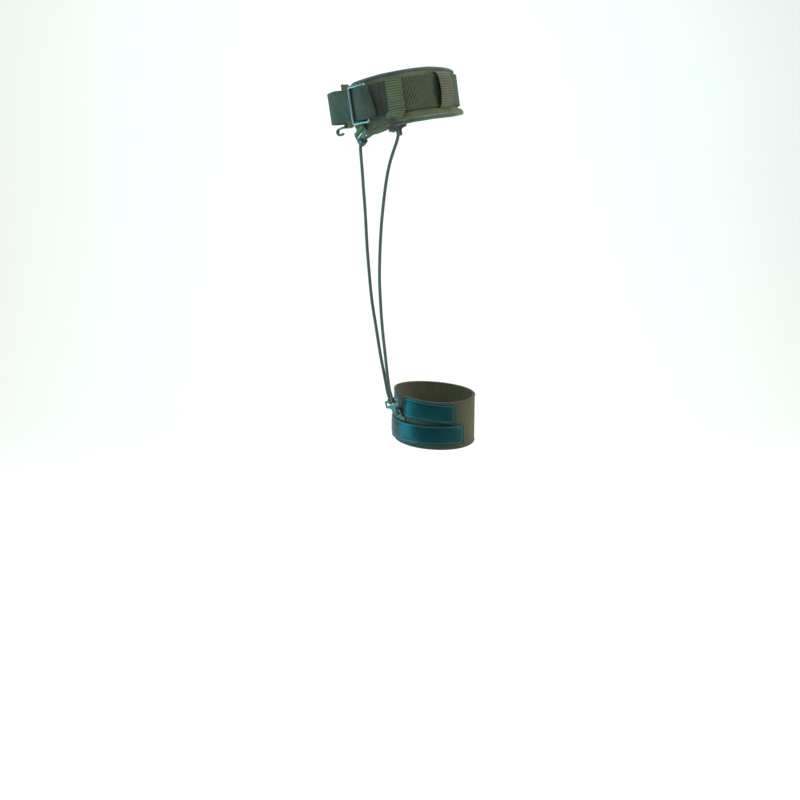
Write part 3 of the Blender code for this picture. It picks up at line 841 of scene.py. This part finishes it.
def place_camera():
    view = bpy.data.cameras.new("camera")
    view.lens = CAMERA_LENS
    view.sensor_width = CAMERA_SENSOR
    holder = new_object("camera", view)
    holder.location = CAMERA_PLACE
    holder.rotation_euler = (math.pi / 2 - CAMERA_PITCH, 0.0, 0.0)
    bpy.context.scene.camera = holder


def braid_relief(u, turn):
    """Strands that cross over and under each other round the cord."""
    a = BRAID_STRANDS * turn / TURN + u / BRAID_CELL
    b = BRAID_STRANDS * turn / TURN - u / BRAID_CELL
    over = (np.floor(a) + np.floor(b)) % 2 < 1
    share = np.where(over, a - np.floor(a), b - np.floor(b))
    return BRAID_RELIEF * (np.sqrt(np.abs(np.sin(math.pi * share))) - 0.6)


def elastic_cord():
    line = even_rows(smooth_rows(CORD_ROUTE), FINE_STEP)
    made = tube("elastic_cord_braid", line, CORD_DIAMETER / 2, 28, CORD_FINISH, relief=braid_relief)
    finish_piece(made, "braided_cord", "elastic_cord")


# Pad and binding

def pad_angles(step):
    """Angles round the pad, closer together at its rounded ends."""
    corner = PAD_CORNER / waist_speed(PAD_END)
    start, end = PAD_END, TURN - PAD_END
    return eased(start, end, corner, round((end - start - 2 * corner) * ROUND_SCALE[0] / step))


def pad_relief(u, v, away):
    """Gently uneven foam, pressed in under the tape and puckered along its seam."""
    pucker = np.exp(-np.maximum(0.0, away - 0.004) / 0.004) * np.sin(TURN * u / 0.0085)
    pressed = np.where(away > TAPE_COVER, 0.00022 * (1 + pucker), 0.0005)
    return 0.00018 * ripples(4, 0.06)(u, v) - pressed


def waist_pad():
    shares = spread(1.0, 0.05, 0.06) + 0.5
    grid = []
    for angle in pad_angles(PAD_STEP):
        low, top = pad_bottom(angle), pad_top(angle)
        grid.append([pad_point(angle, PAD_THICK / 2, low + (top - low) * s) for s in shares])
    made = shell("waist_pad_foam", grid, PAD_THICK, PAD_FINISH, pad_relief, back_relief=pad_relief)
    finish_piece(made["object"], "foam_fabric", "waist_pad")


def pad_outline():
    """The pad's edge as angle and height, closed and evenly spaced."""
    angles = pad_angles(PAD_EDGE_STEP)
    upper = [(a, pad_top(a)) for a in angles]
    lower = [(a, pad_bottom(a)) for a in reversed(angles)]
    outline = np.array(upper + lower + upper[:1])
    return even_rows(outline, TAPE_STEP, ROUND_SCALE)[:-1]


def binding_profile():
    """The folded tape's section: inset from the pad's edge and stand from its middle, closed."""
    half = PAD_THICK / 2
    nose = half + SLACK + BINDING_THICK
    hug = half + BINDING_THICK + 0.0002
    outer = [(BINDING_LEG + 0.0003, hug - 0.0004), (BINDING_LEG, hug), (BINDING_LEG * 0.8, hug)]
    for i in range(9):
        turn = math.pi * (i + 0.5) / 9
        outer.append((half - nose * math.sin(turn), nose * math.cos(turn)))
    outer += [(BINDING_LEG * 0.8, -hug), (BINDING_LEG, -hug), (BINDING_LEG + 0.0003, -hug + 0.0004)]
    inner = [(BINDING_LEG, -half)]
    for i in range(7):
        turn = math.pi * (6.5 - i) / 7
        inner.append((half - (half + SLACK) * math.sin(turn), (half + SLACK) * math.cos(turn)))
    inner.append((BINDING_LEG, half))
    return outer + inner


def pad_binding():
    outline = pad_outline()
    profile = binding_profile()
    count = len(outline)
    seam_inset = BINDING_LEG * 0.62
    seam_stand = PAD_THICK / 2 + BINDING_THICK + 0.0004
    vertices = []
    seams = {1: [], -1: []}
    for i, (angle, height) in enumerate(outline):
        before, after = outline[i - 2], outline[(i + 2) % count]
        speed = waist_speed(angle)
        along = Vector(((after[0] - before[0]) * speed, after[1] - before[1])).normalized()
        inward = Vector((along.y, -along.x))

        def edge_point(inset, stand):
            turn, level = angle + inward.x * inset / speed, height + inward.y * inset
            middle = pad_point(turn, PAD_THICK / 2, level)
            outward = pad_point(turn, PAD_THICK / 2 + 0.001, level) - middle
            above = (pad_point(turn, PAD_THICK / 2, level + 0.001) - middle).normalized()
            return middle + (outward - above * outward.dot(above)).normalized() * stand

        wobble = 0.00018 * math.sin(i * 1.9) * math.sin(i * 0.37)
        for inset, stand in profile:
            leg = wobble if inset >= BINDING_LEG * 0.79 else 0.0
            vertices.append(edge_point(inset + leg, stand))
        inside = edge_point(seam_inset, 0.0)
        for side, line in seams.items():
            surface = edge_point(seam_inset, side * seam_stand)
            line.append((np.array(surface), np.array((surface - inside).normalized())))
    faces, uvs = ring_faces(np.arange(count + 1) * TAPE_STEP, len(profile), 0.001, True)
    made = make_object("pad_binding_tape", vertices, faces, UPPER_TAPE_PAINTED_TEAL_SHEEN, uvs)
    # Faces below the pad's middle take the lighter olive copy: painted light on the lower rim, against the
    # painted teal sheen above.
    second_finish(made, LOWER_TAPE_PAINTED_LIGHT, np.repeat(outline[:, 1] < 0.0, len(profile)))
    fix = bmesh.new()
    fix.from_mesh(made.data)
    bmesh.ops.recalc_face_normals(fix, faces=fix.faces)
    fix.to_mesh(made.data)
    fix.free()
    finish_piece(made, "binding_tape", "pad_binding")
    threads, thread_faces = [], []
    for line in seams.values():
        for (start, normal), (end, _) in zip(line, line[1:] + line[:1]):
            gap = (end - start) * 0.14
            stitch(threads, thread_faces, start + gap, end - gap, normal)
    finish_piece(make_object("pad_binding_seam", threads, thread_faces, THREAD_FINISH), "binding_tape")


# Belt, ring and back loops

def ring_bar_angle():
    return RING_ANGLE + RING_SPAN / waist_speed(RING_ANGLE + RING_SPAN / 0.26)


def belt_route():
    """Angle and stand of the belt's inner face: fold round the rear bar, round the waist, tail."""
    bar = ring_bar_angle()
    speed = waist_speed(bar)
    fold = RING_BAR / 2 + CLEAR
    tuck = [(bar + TUCK_LENGTH * share / speed, BELT_OUT) for share in (1.0, 0.66, 0.33, 0.0)]
    turn = []
    for step in range(1, 6):
        swing = math.pi * step / 6
        turn.append((bar - fold * math.sin(swing) / speed, RING_OUT - fold * math.cos(swing)))
    over = RING_OUT + fold
    falls = ((0.0, 1.0), (0.2, 0.93), (0.4, 0.6), (0.6, 0.22), (0.78, 0.03), (1.0, 0.0))
    low = BELT_OUT + CLEAR
    fall = [(bar + TUCK_LENGTH * share / speed, low + (over - low) * rest) for share, rest in falls]
    past = bar + (TUCK_LENGTH + 0.006) / speed
    first = RING_ANGLE + TURN - (RING_BAR + 0.004) / speed
    round_waist = [(angle, BELT_IN) for angle in even(past, first, 46)]
    top = over + BELT_THICK + CLEAR
    rises = ((0.12, 0.0), (0.35, 0.25), (0.6, 0.68), (0.85, 0.97), (1.0, 1.0))
    rise = [
        (RING_ANGLE + TURN + (bar - RING_ANGLE) * share, BELT_IN + (top - BELT_IN) * high)
        for share, high in rises
    ]
    tail = [(bar + TURN + TAIL_LENGTH * share / speed, top) for share in (0.35, 0.7, 0.9, 1.0)]
    return tuck + turn + fall + round_waist + rise + tail


def waist_belt():
    route = even_rows(smooth_rows(belt_route(), 6), BELT_STEP, ROUND_SCALE)
    last = route[-1][0]
    belly = TURN - PAD_END + 0.03
    shares = spread(1.0, 0.045, 0.02)
    grid = []
    for angle, out in route:
        edge = (last - angle) * waist_speed(angle)
        half = BELT_WIDTH / 2 - corner_cut(edge, BELT_CORNER)
        lean = TAIL_LEAN * (1 - smooth(0.0, 0.022, edge)) / waist_speed(angle)
        grid.append([belt_point(angle + lean * (0.5 - s), out, 2 * half * s) for s in shares])
    first = max(i for i, (angle, _) in enumerate(route) if angle < belly)
    bare = np.array([i > first or angle < CLOSURE_END for i, (angle, _) in enumerate(route)])

    def relief(u, v, away):
        along, across, pitch = TWILL
        rib = np.sin(TURN * (along * u + across * v) / pitch)
        hem = 0.00030 * np.exp(-((away - 0.0012) / 0.0009) ** 2)
        return 0.00017 * rib * ~bare[:, None] + hem + 0.00018 * ripples(8, 0.05)(u, v)

    made = shell("waist_belt_webbing", grid, BELT_THICK, BELT_FINISH, relief, offset=1.0)
    second_finish(made["object"], BELLY_FINISH, np.repeat(bare[:-1], 2 * (len(shares) - 1)))
    finish_piece(made["object"], "webbing", "waist_belt")
    length, join, fold = made["u"][-1], made["u"][first], TUCK_LENGTH + 0.030
    half = BELT_WIDTH / 2 - 0.0035
    runs = [seam_across(made, length - 0.004, half - 0.002), seam_across(made, length - 0.007, half)]
    runs += [seam_across(made, at, half) for at in (join + 0.003, join + 0.007, fold, fold + 0.003)]
    stitching("waist_belt_seams", "webbing", runs, DARK_THREAD)


def belt_ring():
    front = belt_point(RING_ANGLE, RING_OUT, 0.0)
    rear = belt_point(ring_bar_angle(), RING_OUT, 0.0)
    up = tilted(0.0, 0.0, 1.0)
    across = (rear - front).normalized()
    half_span = (rear - front).length / 2
    half_height = (RING_HEIGHT - RING_BAR) / 2
    middle = (front + rear) / 2 - up * RING_DROP
    corner = RING_CORNER + 0.0006
    points = []
    for side, level, start in ((1, 1, 0), (-1, 1, 90), (-1, -1, 180), (1, -1, 270)):
        for step in range(9):
            turn = math.radians(start + 90 * step / 8)
            x = side * (half_span - corner) + corner * math.cos(turn)
            z = level * (half_height - corner) + corner * math.sin(turn)
            points.append(middle + across * x + up * z)
    dense = even_rows(points + points[:1], SMALL_STEP)[:-1]
    made = tube("belt_ring_bar", dense, RING_BAR / 2, 20, RING_FINISH, closed=True,
                start_up=across.cross(up), squash=0.96)
    finish_piece(made, "moulded_plastic", "belt_ring")


def back_loop(name, side):
    on_pad = PAD_THICK + SLACK
    bulge = BELT_OUT + BACK_LOOP_BULGE - on_pad
    middle = side * BACK_LOOP_ANGLE
    turns = [middle + aside / waist_speed(middle) for aside in spread(BACK_LOOP_WIDTH, 0.0025, 0.0009)]
    coarse = [[pad_point(turn, on_pad + bulge * stand, BELT_WIDTH / 2 * share) for turn in turns]
              for share, stand in BACK_LOOP_ROWS]
    grid = even_rows(smooth_rows(coarse, 8), SMALL_STEP)[:, ::-1]

    def relief(u, v, away):
        crease = 0.0006 * np.exp(-((v - 0.004) / 0.004) ** 2) * np.sin(math.pi * u / u.max())
        return 0.00010 * np.sin(TURN * u / RIBS[2]) + crease + 0.00016 * ripples(12, 0.03)(u, v)

    made = shell(name + "_webbing", grid, BACK_LOOP_THICK, BACK_LOOP_FINISH, relief, offset=1.0)
    finish_piece(made["object"], "webbing", name)
    half = BACK_LOOP_WIDTH / 2 - 0.003
    runs = [seam_across(made, at, half) for at in (0.0014, made["u"][-1] - 0.0014)]
    stitching(name + "_seams", "webbing", runs, DARK_THREAD)


# Hooks and their loops

def facing(place, outward, up, tilt, swing, turned):
    """A hook's frame: X rearward along its slot, -Y outward, +Z up, with its origin in the slot."""
    rear = up.cross(outward).normalized()
    upright = Matrix((rear, -outward, up)).transposed().to_4x4()
    lean = Matrix.Rotation(tilt, 4, "Y") @ Matrix.Rotation(-swing, 4, "X")
    turn = Matrix.Rotation(math.pi if turned else 0.0, 4, "Z")
    return Matrix.Translation(place) @ upright @ lean, turn


def waist_facing(angle, out, height, tilt, swing, turned):
    place = waist_point(angle, out, height)
    x = -math.cos(angle) / (WAIST_HALF_DEPTH + out)
    y = -math.sin(angle) / (WAIST_HALF_WIDTH + out)
    outward = tilted(x, y, 0.0).normalized()
    return facing(place, outward, tilted(0.0, 0.0, 1.0), tilt, swing, turned)


def hook_rows():
    """The hook's middle line from its top edge to its tip: stand outward, height and half width."""
    half, neck, top, slot = HOOK_WIDTH / 2, HOOK_NECK_WIDTH / 2, HOOK_FRAME / 2, HOOK_SLOT / 2
    upper = ((top, 0.84), (top - 0.0005, 0.93), (top - 0.0014, 0.985), (top - 0.0026, 1.0), (slot, 1.0))
    lower = ((-0.0022, 1.0), (-0.0010, 0.95), (-0.0002, 0.80), (0.0008, 0.56))
    throat = ((0.0022, 1.22), (0.0040, 1.03), (0.0060, 1.0), (HOOK_NECK, 1.0))
    rows = [(0.0, level, half * share) for level, share in upper + ((-slot, 1.0),)]
    rows += [(0.0, -top - fall, half * share) for fall, share in lower]
    rows += [(0.0, -top - fall, neck * share) for fall, share in throat]
    steps = 22
    for step in range(1, steps + 1):
        turn = (math.pi + HOOK_CURL_END) * step / steps
        out = HOOK_CURL * (1 - math.cos(turn))
        wide = neck if step < steps - 2 else neck * (0.97, 0.90, 0.78)[step - steps + 2]
        rows.append((out, -top - HOOK_NECK - HOOK_CURL * math.sin(turn), wide))
    return rows


def hook(name, node, matrix):
    slot = (LOOP_WIDTH / 2 + 2 * CLEAR) / (HOOK_WIDTH / 2)
    rim = slot + (1 - slot) * 0.35
    shares = (-1.0, -rim, -slot, -slot * 0.93, -0.3, 0.0, 0.3, slot * 0.93, slot, rim, 1.0)
    opening = [(4, j) for j in range(2, len(shares) - 3)]
    rows = [[(s * half, -out, height) for s in shares] for out, height, half in hook_rows()]
    made = plate(name, rows, opening, HOOK_FINISH, HOOK_THICK)
    made.matrix_world = matrix
    made.modifiers["thickness"].use_even_offset = True
    sharp = math.radians(50)
    modify(made, "edges", "BEVEL", width=0.0006, segments=3, limit_method="ANGLE", angle_limit=sharp)
    modify(made, "shading", "WEIGHTED_NORMAL", keep_sharp=True)
    finish_piece(made, "moulded_plastic", node)


def hook_loop(number, angle, frame_matrix, sewn, tail):
    """Webbing from behind the belt, through the hook's slot and back over the belt."""
    top = BELT_WIDTH / 2 + CLEAR
    behind = BELT_IN - SLACK
    front = BELT_OUT + SLACK
    bar_side = HOOK_THICK / 2 + CLEAR
    bar_top = HOOK_FRAME / 2 + CLEAR
    bar_low = HOOK_SLOT / 2 - CLEAR
    start = BELT_WIDTH * 0.2 if sewn else top + tail
    under = -BELT_WIDTH / 2 - CLEAR
    round_bar = [(bar_side, bar_top), (bar_side, bar_low), (-bar_side, bar_low), (-bar_side, bar_top)]
    places = spread(LOOP_WIDTH, 0.0025, 0.0008)
    turns = [angle + a / waist_speed(angle) for a in places]
    levels = (start, start * 0.5, 0.0, under * 0.6, under)
    coarse = [[belt_point(t, behind, h) for t in turns] for h in levels]
    if sewn:
        round_bar.append((-bar_side, bar_top + HOOK_FRAME * 0.05))
    coarse += [[frame_matrix @ Vector((a, depth, h)) for a in places] for depth, h in round_bar]
    if not sewn:
        returns = [(front, h) for h in (under, under * 0.5, 0.0, top * 0.6, top)] + [(BELT_IN, top)]
        coarse += [[waist_point(t, out, h) for t in turns] for out, h in returns]
    grid = even_rows(cut_corners(coarse, 0.25, 3), FINE_STEP)[:, ::-1]
    low = lengths(grid[:, len(places) // 2])[-1] - (BELT_WIDTH + 0.002)

    def relief(u, v, away):
        base = 0.00011 * np.sin(TURN * u / RIBS[2]) + 0.00010 * ripples(20 + number, 0.02)(u, v)
        if sewn:
            return base
        bunch = np.exp(-((u - low - 0.009) / 0.007) ** 4)
        folds = np.sin(TURN * (u + 0.16 * v) / 0.0052 + 0.6)
        return base + bunch * (0.0010 + 0.0009 * folds)

    name = f"hook_loop_{number}"
    made = shell(name + "_webbing", grid, LOOP_THICK, LOOP_FINISH, relief, offset=1.0)
    finish_piece(made["object"], "webbing", name)
    if not sewn:
        half = LOOP_WIDTH / 2 - 0.0022
        length = made["u"][-1]
        gathered = length - BELT_WIDTH + 0.011
        runs = [seam_across(made, at, half) for at in (gathered, gathered + 0.0025, length - 0.0045)]
        stitching(name + "_seams", "webbing", runs, DARK_THREAD, FINE_STITCH_PITCH)


def hooks_and_loops():
    for number, angle, slot_angle, stand, depth, tilt, swing, turned, sewn, tail in HOOK_LOOPS:
        out = BELT_OUT + stand
        height = -BELT_WIDTH / 2 - depth
        matrix, turn = waist_facing(
            math.radians(slot_angle), out, height, math.radians(tilt), math.radians(swing), turned
        )
        hook(f"cord_hook_{number}_moulded", f"cord_hook_{number}", matrix @ turn)
        hook_loop(number, math.radians(angle), matrix, sewn, tail)


# Thigh cuff

def cuff_band():
    shares = spread(1.0, 0.05, 0.03) + 0.5
    grid = []
    for angle in even(0.0, TURN, CUFF_ROWS + 1)[:-1]:
        outer = max(0.0, math.sin(angle))
        top = CUFF_TOP + CUFF_TOP_LEAN * math.cos(angle) - CUFF_TOP_DIP * outer
        bottom = -CUFF_BOTTOM + CUFF_BOTTOM_LEAN * math.cos(angle) - CUFF_BOTTOM_DIP * outer
        grid.append([cuff_point(angle, CUFF_THICK / 2, bottom + (top - bottom) * s) for s in shares])

    def relief(u, v, away):
        rib = np.abs(np.sin(math.pi * u / BAND_RIB))
        welt = 0.0003 * (away < BAND_WELT)
        groove = -0.0003 * np.exp(-((away - BAND_WELT - 0.0005) / 0.0008) ** 2)
        return -0.00035 * (1 - rib) * np.clip((away - BAND_WELT) / 0.002, 0, 1) + welt + groove

    made = shell("cuff_band_elastic", grid, CUFF_THICK, BAND_FINISH, relief, closed=True)
    finish_piece(made["object"], "ribbed_elastic", "cuff_band")
    turns = even(0.001, made["u"][-1], 60)
    runs = []
    for back in (False, True):
        for level in (0.0052, 0.0036):
            for at in (made["v"][0, 0] + level, made["v"][0, -1] - level):
                runs.append((made, [(u, at) for u in turns], back))
    stitching("cuff_band_seams", "ribbed_elastic", runs, DARK_THREAD)


def cuff_strap(name, start, end, height, lean):
    """A padded strap round the band, with a stitched border and rounded ends."""
    stand = CUFF_THICK + SLACK + STRAP_THICK / 2
    radius = LEG_RADIUS + stand
    corner = STRAP_CORNER / radius
    first, last = math.radians(start), math.radians(end)
    count = max(6, round((last - first - 2 * corner) * radius / STRAP_STEP))
    shares = spread(1.0, 0.06, 0.045)
    grid = []
    for angle in eased(first, last, corner, count):
        edge = min(angle - first, last - angle) * radius
        half = STRAP_WIDTH / 2 - corner_cut(edge, STRAP_CORNER)
        middle = height + lean * math.cos(angle)
        grid.append([cuff_point(angle, stand, middle + 2 * half * s) for s in shares])

    def relief(u, v, away):
        border = 0.00055 * np.exp(-((away - 0.0017) / 0.0011) ** 2)
        groove = -0.00050 * np.exp(-((away - STRAP_SEAM) / 0.0007) ** 2)
        crown = 0.00085 * np.clip((away - STRAP_SEAM) / 0.007, 0, 1) ** 0.6
        pucker = 0.00022 * np.exp(-np.abs(away - 0.0062) / 0.003) * np.sin(TURN * u / 0.0075)
        return border + groove + crown + pucker + 0.00030 * ripples(31, 0.035)(u, v)

    made = shell(name + "_leather", grid, STRAP_THICK, STRAP_PAINTED_TEAL_REFLECTION, relief)
    finish_piece(made["object"], "synthetic_leather", name)
    bend = STRAP_CORNER - STRAP_SEAM
    near, far, high = STRAP_CORNER, made["u"][-1] - STRAP_CORNER, STRAP_WIDTH / 2 - STRAP_CORNER
    outline = []
    for x, y, begin in ((far, high, 0), (near, high, 90), (near, -high, 180), (far, -high, 270)):
        for step in range(4):
            turn = math.radians(begin + 30 * step)
            outline.append((x + bend * math.cos(turn), y + bend * math.sin(turn)))
    dense = even_rows(outline + outline[:1], STRAP_SEAM_STEP)
    stitching(name + "_seam", "synthetic_leather", [(made, dense, False)], THREAD_FINISH)


def cuff_facing():
    place = cuff_point(CUFF_HOOK_ANGLE, CUFF_HOOK_STAND, CUFF_HOOK_HEIGHT)
    outward = Vector((-math.cos(CUFF_HOOK_FACING), -math.sin(CUFF_HOOK_FACING), 0.0))
    return facing(place, outward, Vector((0.0, 0.0, 1.0)), -CUFF_HOOK_TILT, 0.0, True)


def cord_knot(matrix):
    """Each end of the cord goes round the bar of the cuff hook's slot."""
    thick = HOOK_SLOT - 3 * CLEAR
    side = HOOK_THICK / 2 + CLEAR + thick / 2
    top = HOOK_FRAME / 2 + CLEAR + thick / 2
    low = HOOK_SLOT / 2 - CLEAR - thick / 2
    axis = matrix.to_3x3() @ Vector((1, 0, 0))
    for number, sign in ((1, -1), (2, 1)):
        aside = sign * (CORD_DIAMETER / 2 + CLEAR)
        corners = [(aside, side, top), (aside, side, low), (aside, -side, low), (aside, -side, top)]
        points = [matrix @ Vector(p) for p in cut_corners(corners, 0.2, 4, closed=True)]
        made = tube(f"cord_knot_turn_{number}", points, CORD_DIAMETER / 2 * 0.97, 16, CORD_FINISH,
                    closed=True, relief=braid_relief, start_up=axis.cross(points[1] - points[0]),
                    squash=thick / CORD_DIAMETER)
        finish_piece(made, "braided_cord", *(["cord_knot"] if number == 1 else []))


def cuff_seat_angle(matrix, level):
    place = matrix @ Vector((0.0, HOOK_CURL, level)) - CUFF_MIDDLE
    return math.atan2(-place.y, -place.x)


def cuff_tab(matrix):
    """The webbing tab, slit for the hook's curl and sewn on the band."""
    curl_low = -HOOK_FRAME / 2 - HOOK_NECK - HOOK_CURL
    slit_top = curl_low + HOOK_THICK / 2 + CLEAR
    slit_low = curl_low - HOOK_THICK / 2 - CLEAR
    levels = (slit_top + 2 * TAB_THICK, slit_top, slit_low, slit_low - 2 * TAB_THICK)
    stand = CUFF_THICK + SLACK + TAB_THICK / 2
    _, _, _, height, lean = CUFF_STRAPS[1]
    slit = (HOOK_NECK_WIDTH / 2 + 2 * CLEAR) / (TAB_WIDTH / 2)
    shares = (-1.0, -slit, 0.0, slit, 1.0)
    foot = cuff_seat_angle(matrix, levels[-1])
    strap_top = height + lean * math.cos(foot) + STRAP_WIDTH / 2
    sewn = (strap_top + 0.0070, strap_top + 0.0005)
    rows = [[matrix @ Vector((TAB_WIDTH / 2 * s, HOOK_CURL, level)) for s in shares] for level in levels]
    rows += [[cuff_point(foot + TAB_WIDTH / 2 * s / LEG_RADIUS, stand, h) for s in shares] for h in sewn]
    made = plate("cuff_tab_webbing", rows, [(1, 1), (1, 2)], TAB_FINISH, TAB_THICK)
    layer = made.data.uv_layers.new(name="weave")
    for loop in made.data.loops:
        place = made.data.vertices[loop.vertex_index].co
        layer.data[loop.index].uv = (-place.z, place.x - place.y)
    modify(made, "rounding", "SUBSURF", levels=2, render_levels=2)
    finish_piece(made, "webbing", "cuff_tab")


def cuff():
    cuff_band()
    for row in CUFF_STRAPS:
        cuff_strap(*row)
    matrix, turn = cuff_facing()
    hook("cuff_hook_moulded", "cuff_hook", matrix @ turn)
    cord_knot(matrix)
    cuff_tab(matrix)


# Stage and light

def floor():
    """A pale floor that curves up into a backdrop."""
    profile = [(-9.0, 0.0), (1.6, 0.0)]
    for i in range(1, 9):
        turn = math.pi / 2 * i / 8
        profile.append((1.6 + 1.2 * math.sin(turn), 1.2 * (1 - math.cos(turn))))
    profile.append((2.8, 4.5))
    vertices, faces = [], []
    for y, z in profile:
        vertices += [(-5.0, y, FLOOR_HEIGHT + z), (5.0, y, FLOOR_HEIGHT + z)]
    for i in range(len(profile) - 1):
        faces.append((2 * i, 2 * i + 1, 2 * i + 3, 2 * i + 2))
    made = make_object("floor", vertices, faces, plain("floor_paper", (0.86, 0.86, 0.85), 0.8, 900, 0.97))


def light(name, place, aim, size, power, colour):
    lamp = bpy.data.lights.new(name, "AREA")
    lamp.shape = "RECTANGLE"
    lamp.size, lamp.size_y = size
    lamp.energy = power
    lamp.color = colour
    holder = new_object(name, lamp)
    holder.location = place
    holder.rotation_euler = (Vector(aim) - Vector(place)).to_track_quat("-Z", "Y").to_euler()
    holder.visible_camera = False


def lights():
    light("key", (-1.7, -1.5, 1.5), (0, 0, -0.1), (1.2, 1.2), 48, (0.94, 1.0, 0.98))
    light("side", (-1.35, -0.30, -0.62), (0.02, -0.12, -0.50), (0.9, 1.0), 22, (0.10, 0.80, 1.0))
    light("fill", (1.9, -0.35, 0.2), (0, -0.1, -0.25), (0.9, 1.4), 34, (0.98, 1.0, 0.86))
    light("front", (1.2, -2.2, 0.9), (0, -0.1, -0.25), (1.4, 1.0), 9, (1.0, 1.0, 0.95))
    light("top", (0.2, 0.9, 2.0), (0, 0.2, 0), (2.2, 1.8), 34, (0.97, 1.0, 0.99))
    world = bpy.data.worlds.new("studio")
    world.use_nodes = True
    set_inputs(world.node_tree.nodes["Background"], Color=(0.95, 0.98, 0.96, 1.0), Strength=0.62)
    bpy.context.scene.world = world
    bpy.context.scene.view_settings.view_transform = "Standard"


place_camera()
elastic_cord()
waist_pad()
pad_binding()
waist_belt()
belt_ring()
back_loop("back_loop_left", 1)
back_loop("back_loop_right", -1)
hooks_and_loops()
cuff()
floor()
lights()
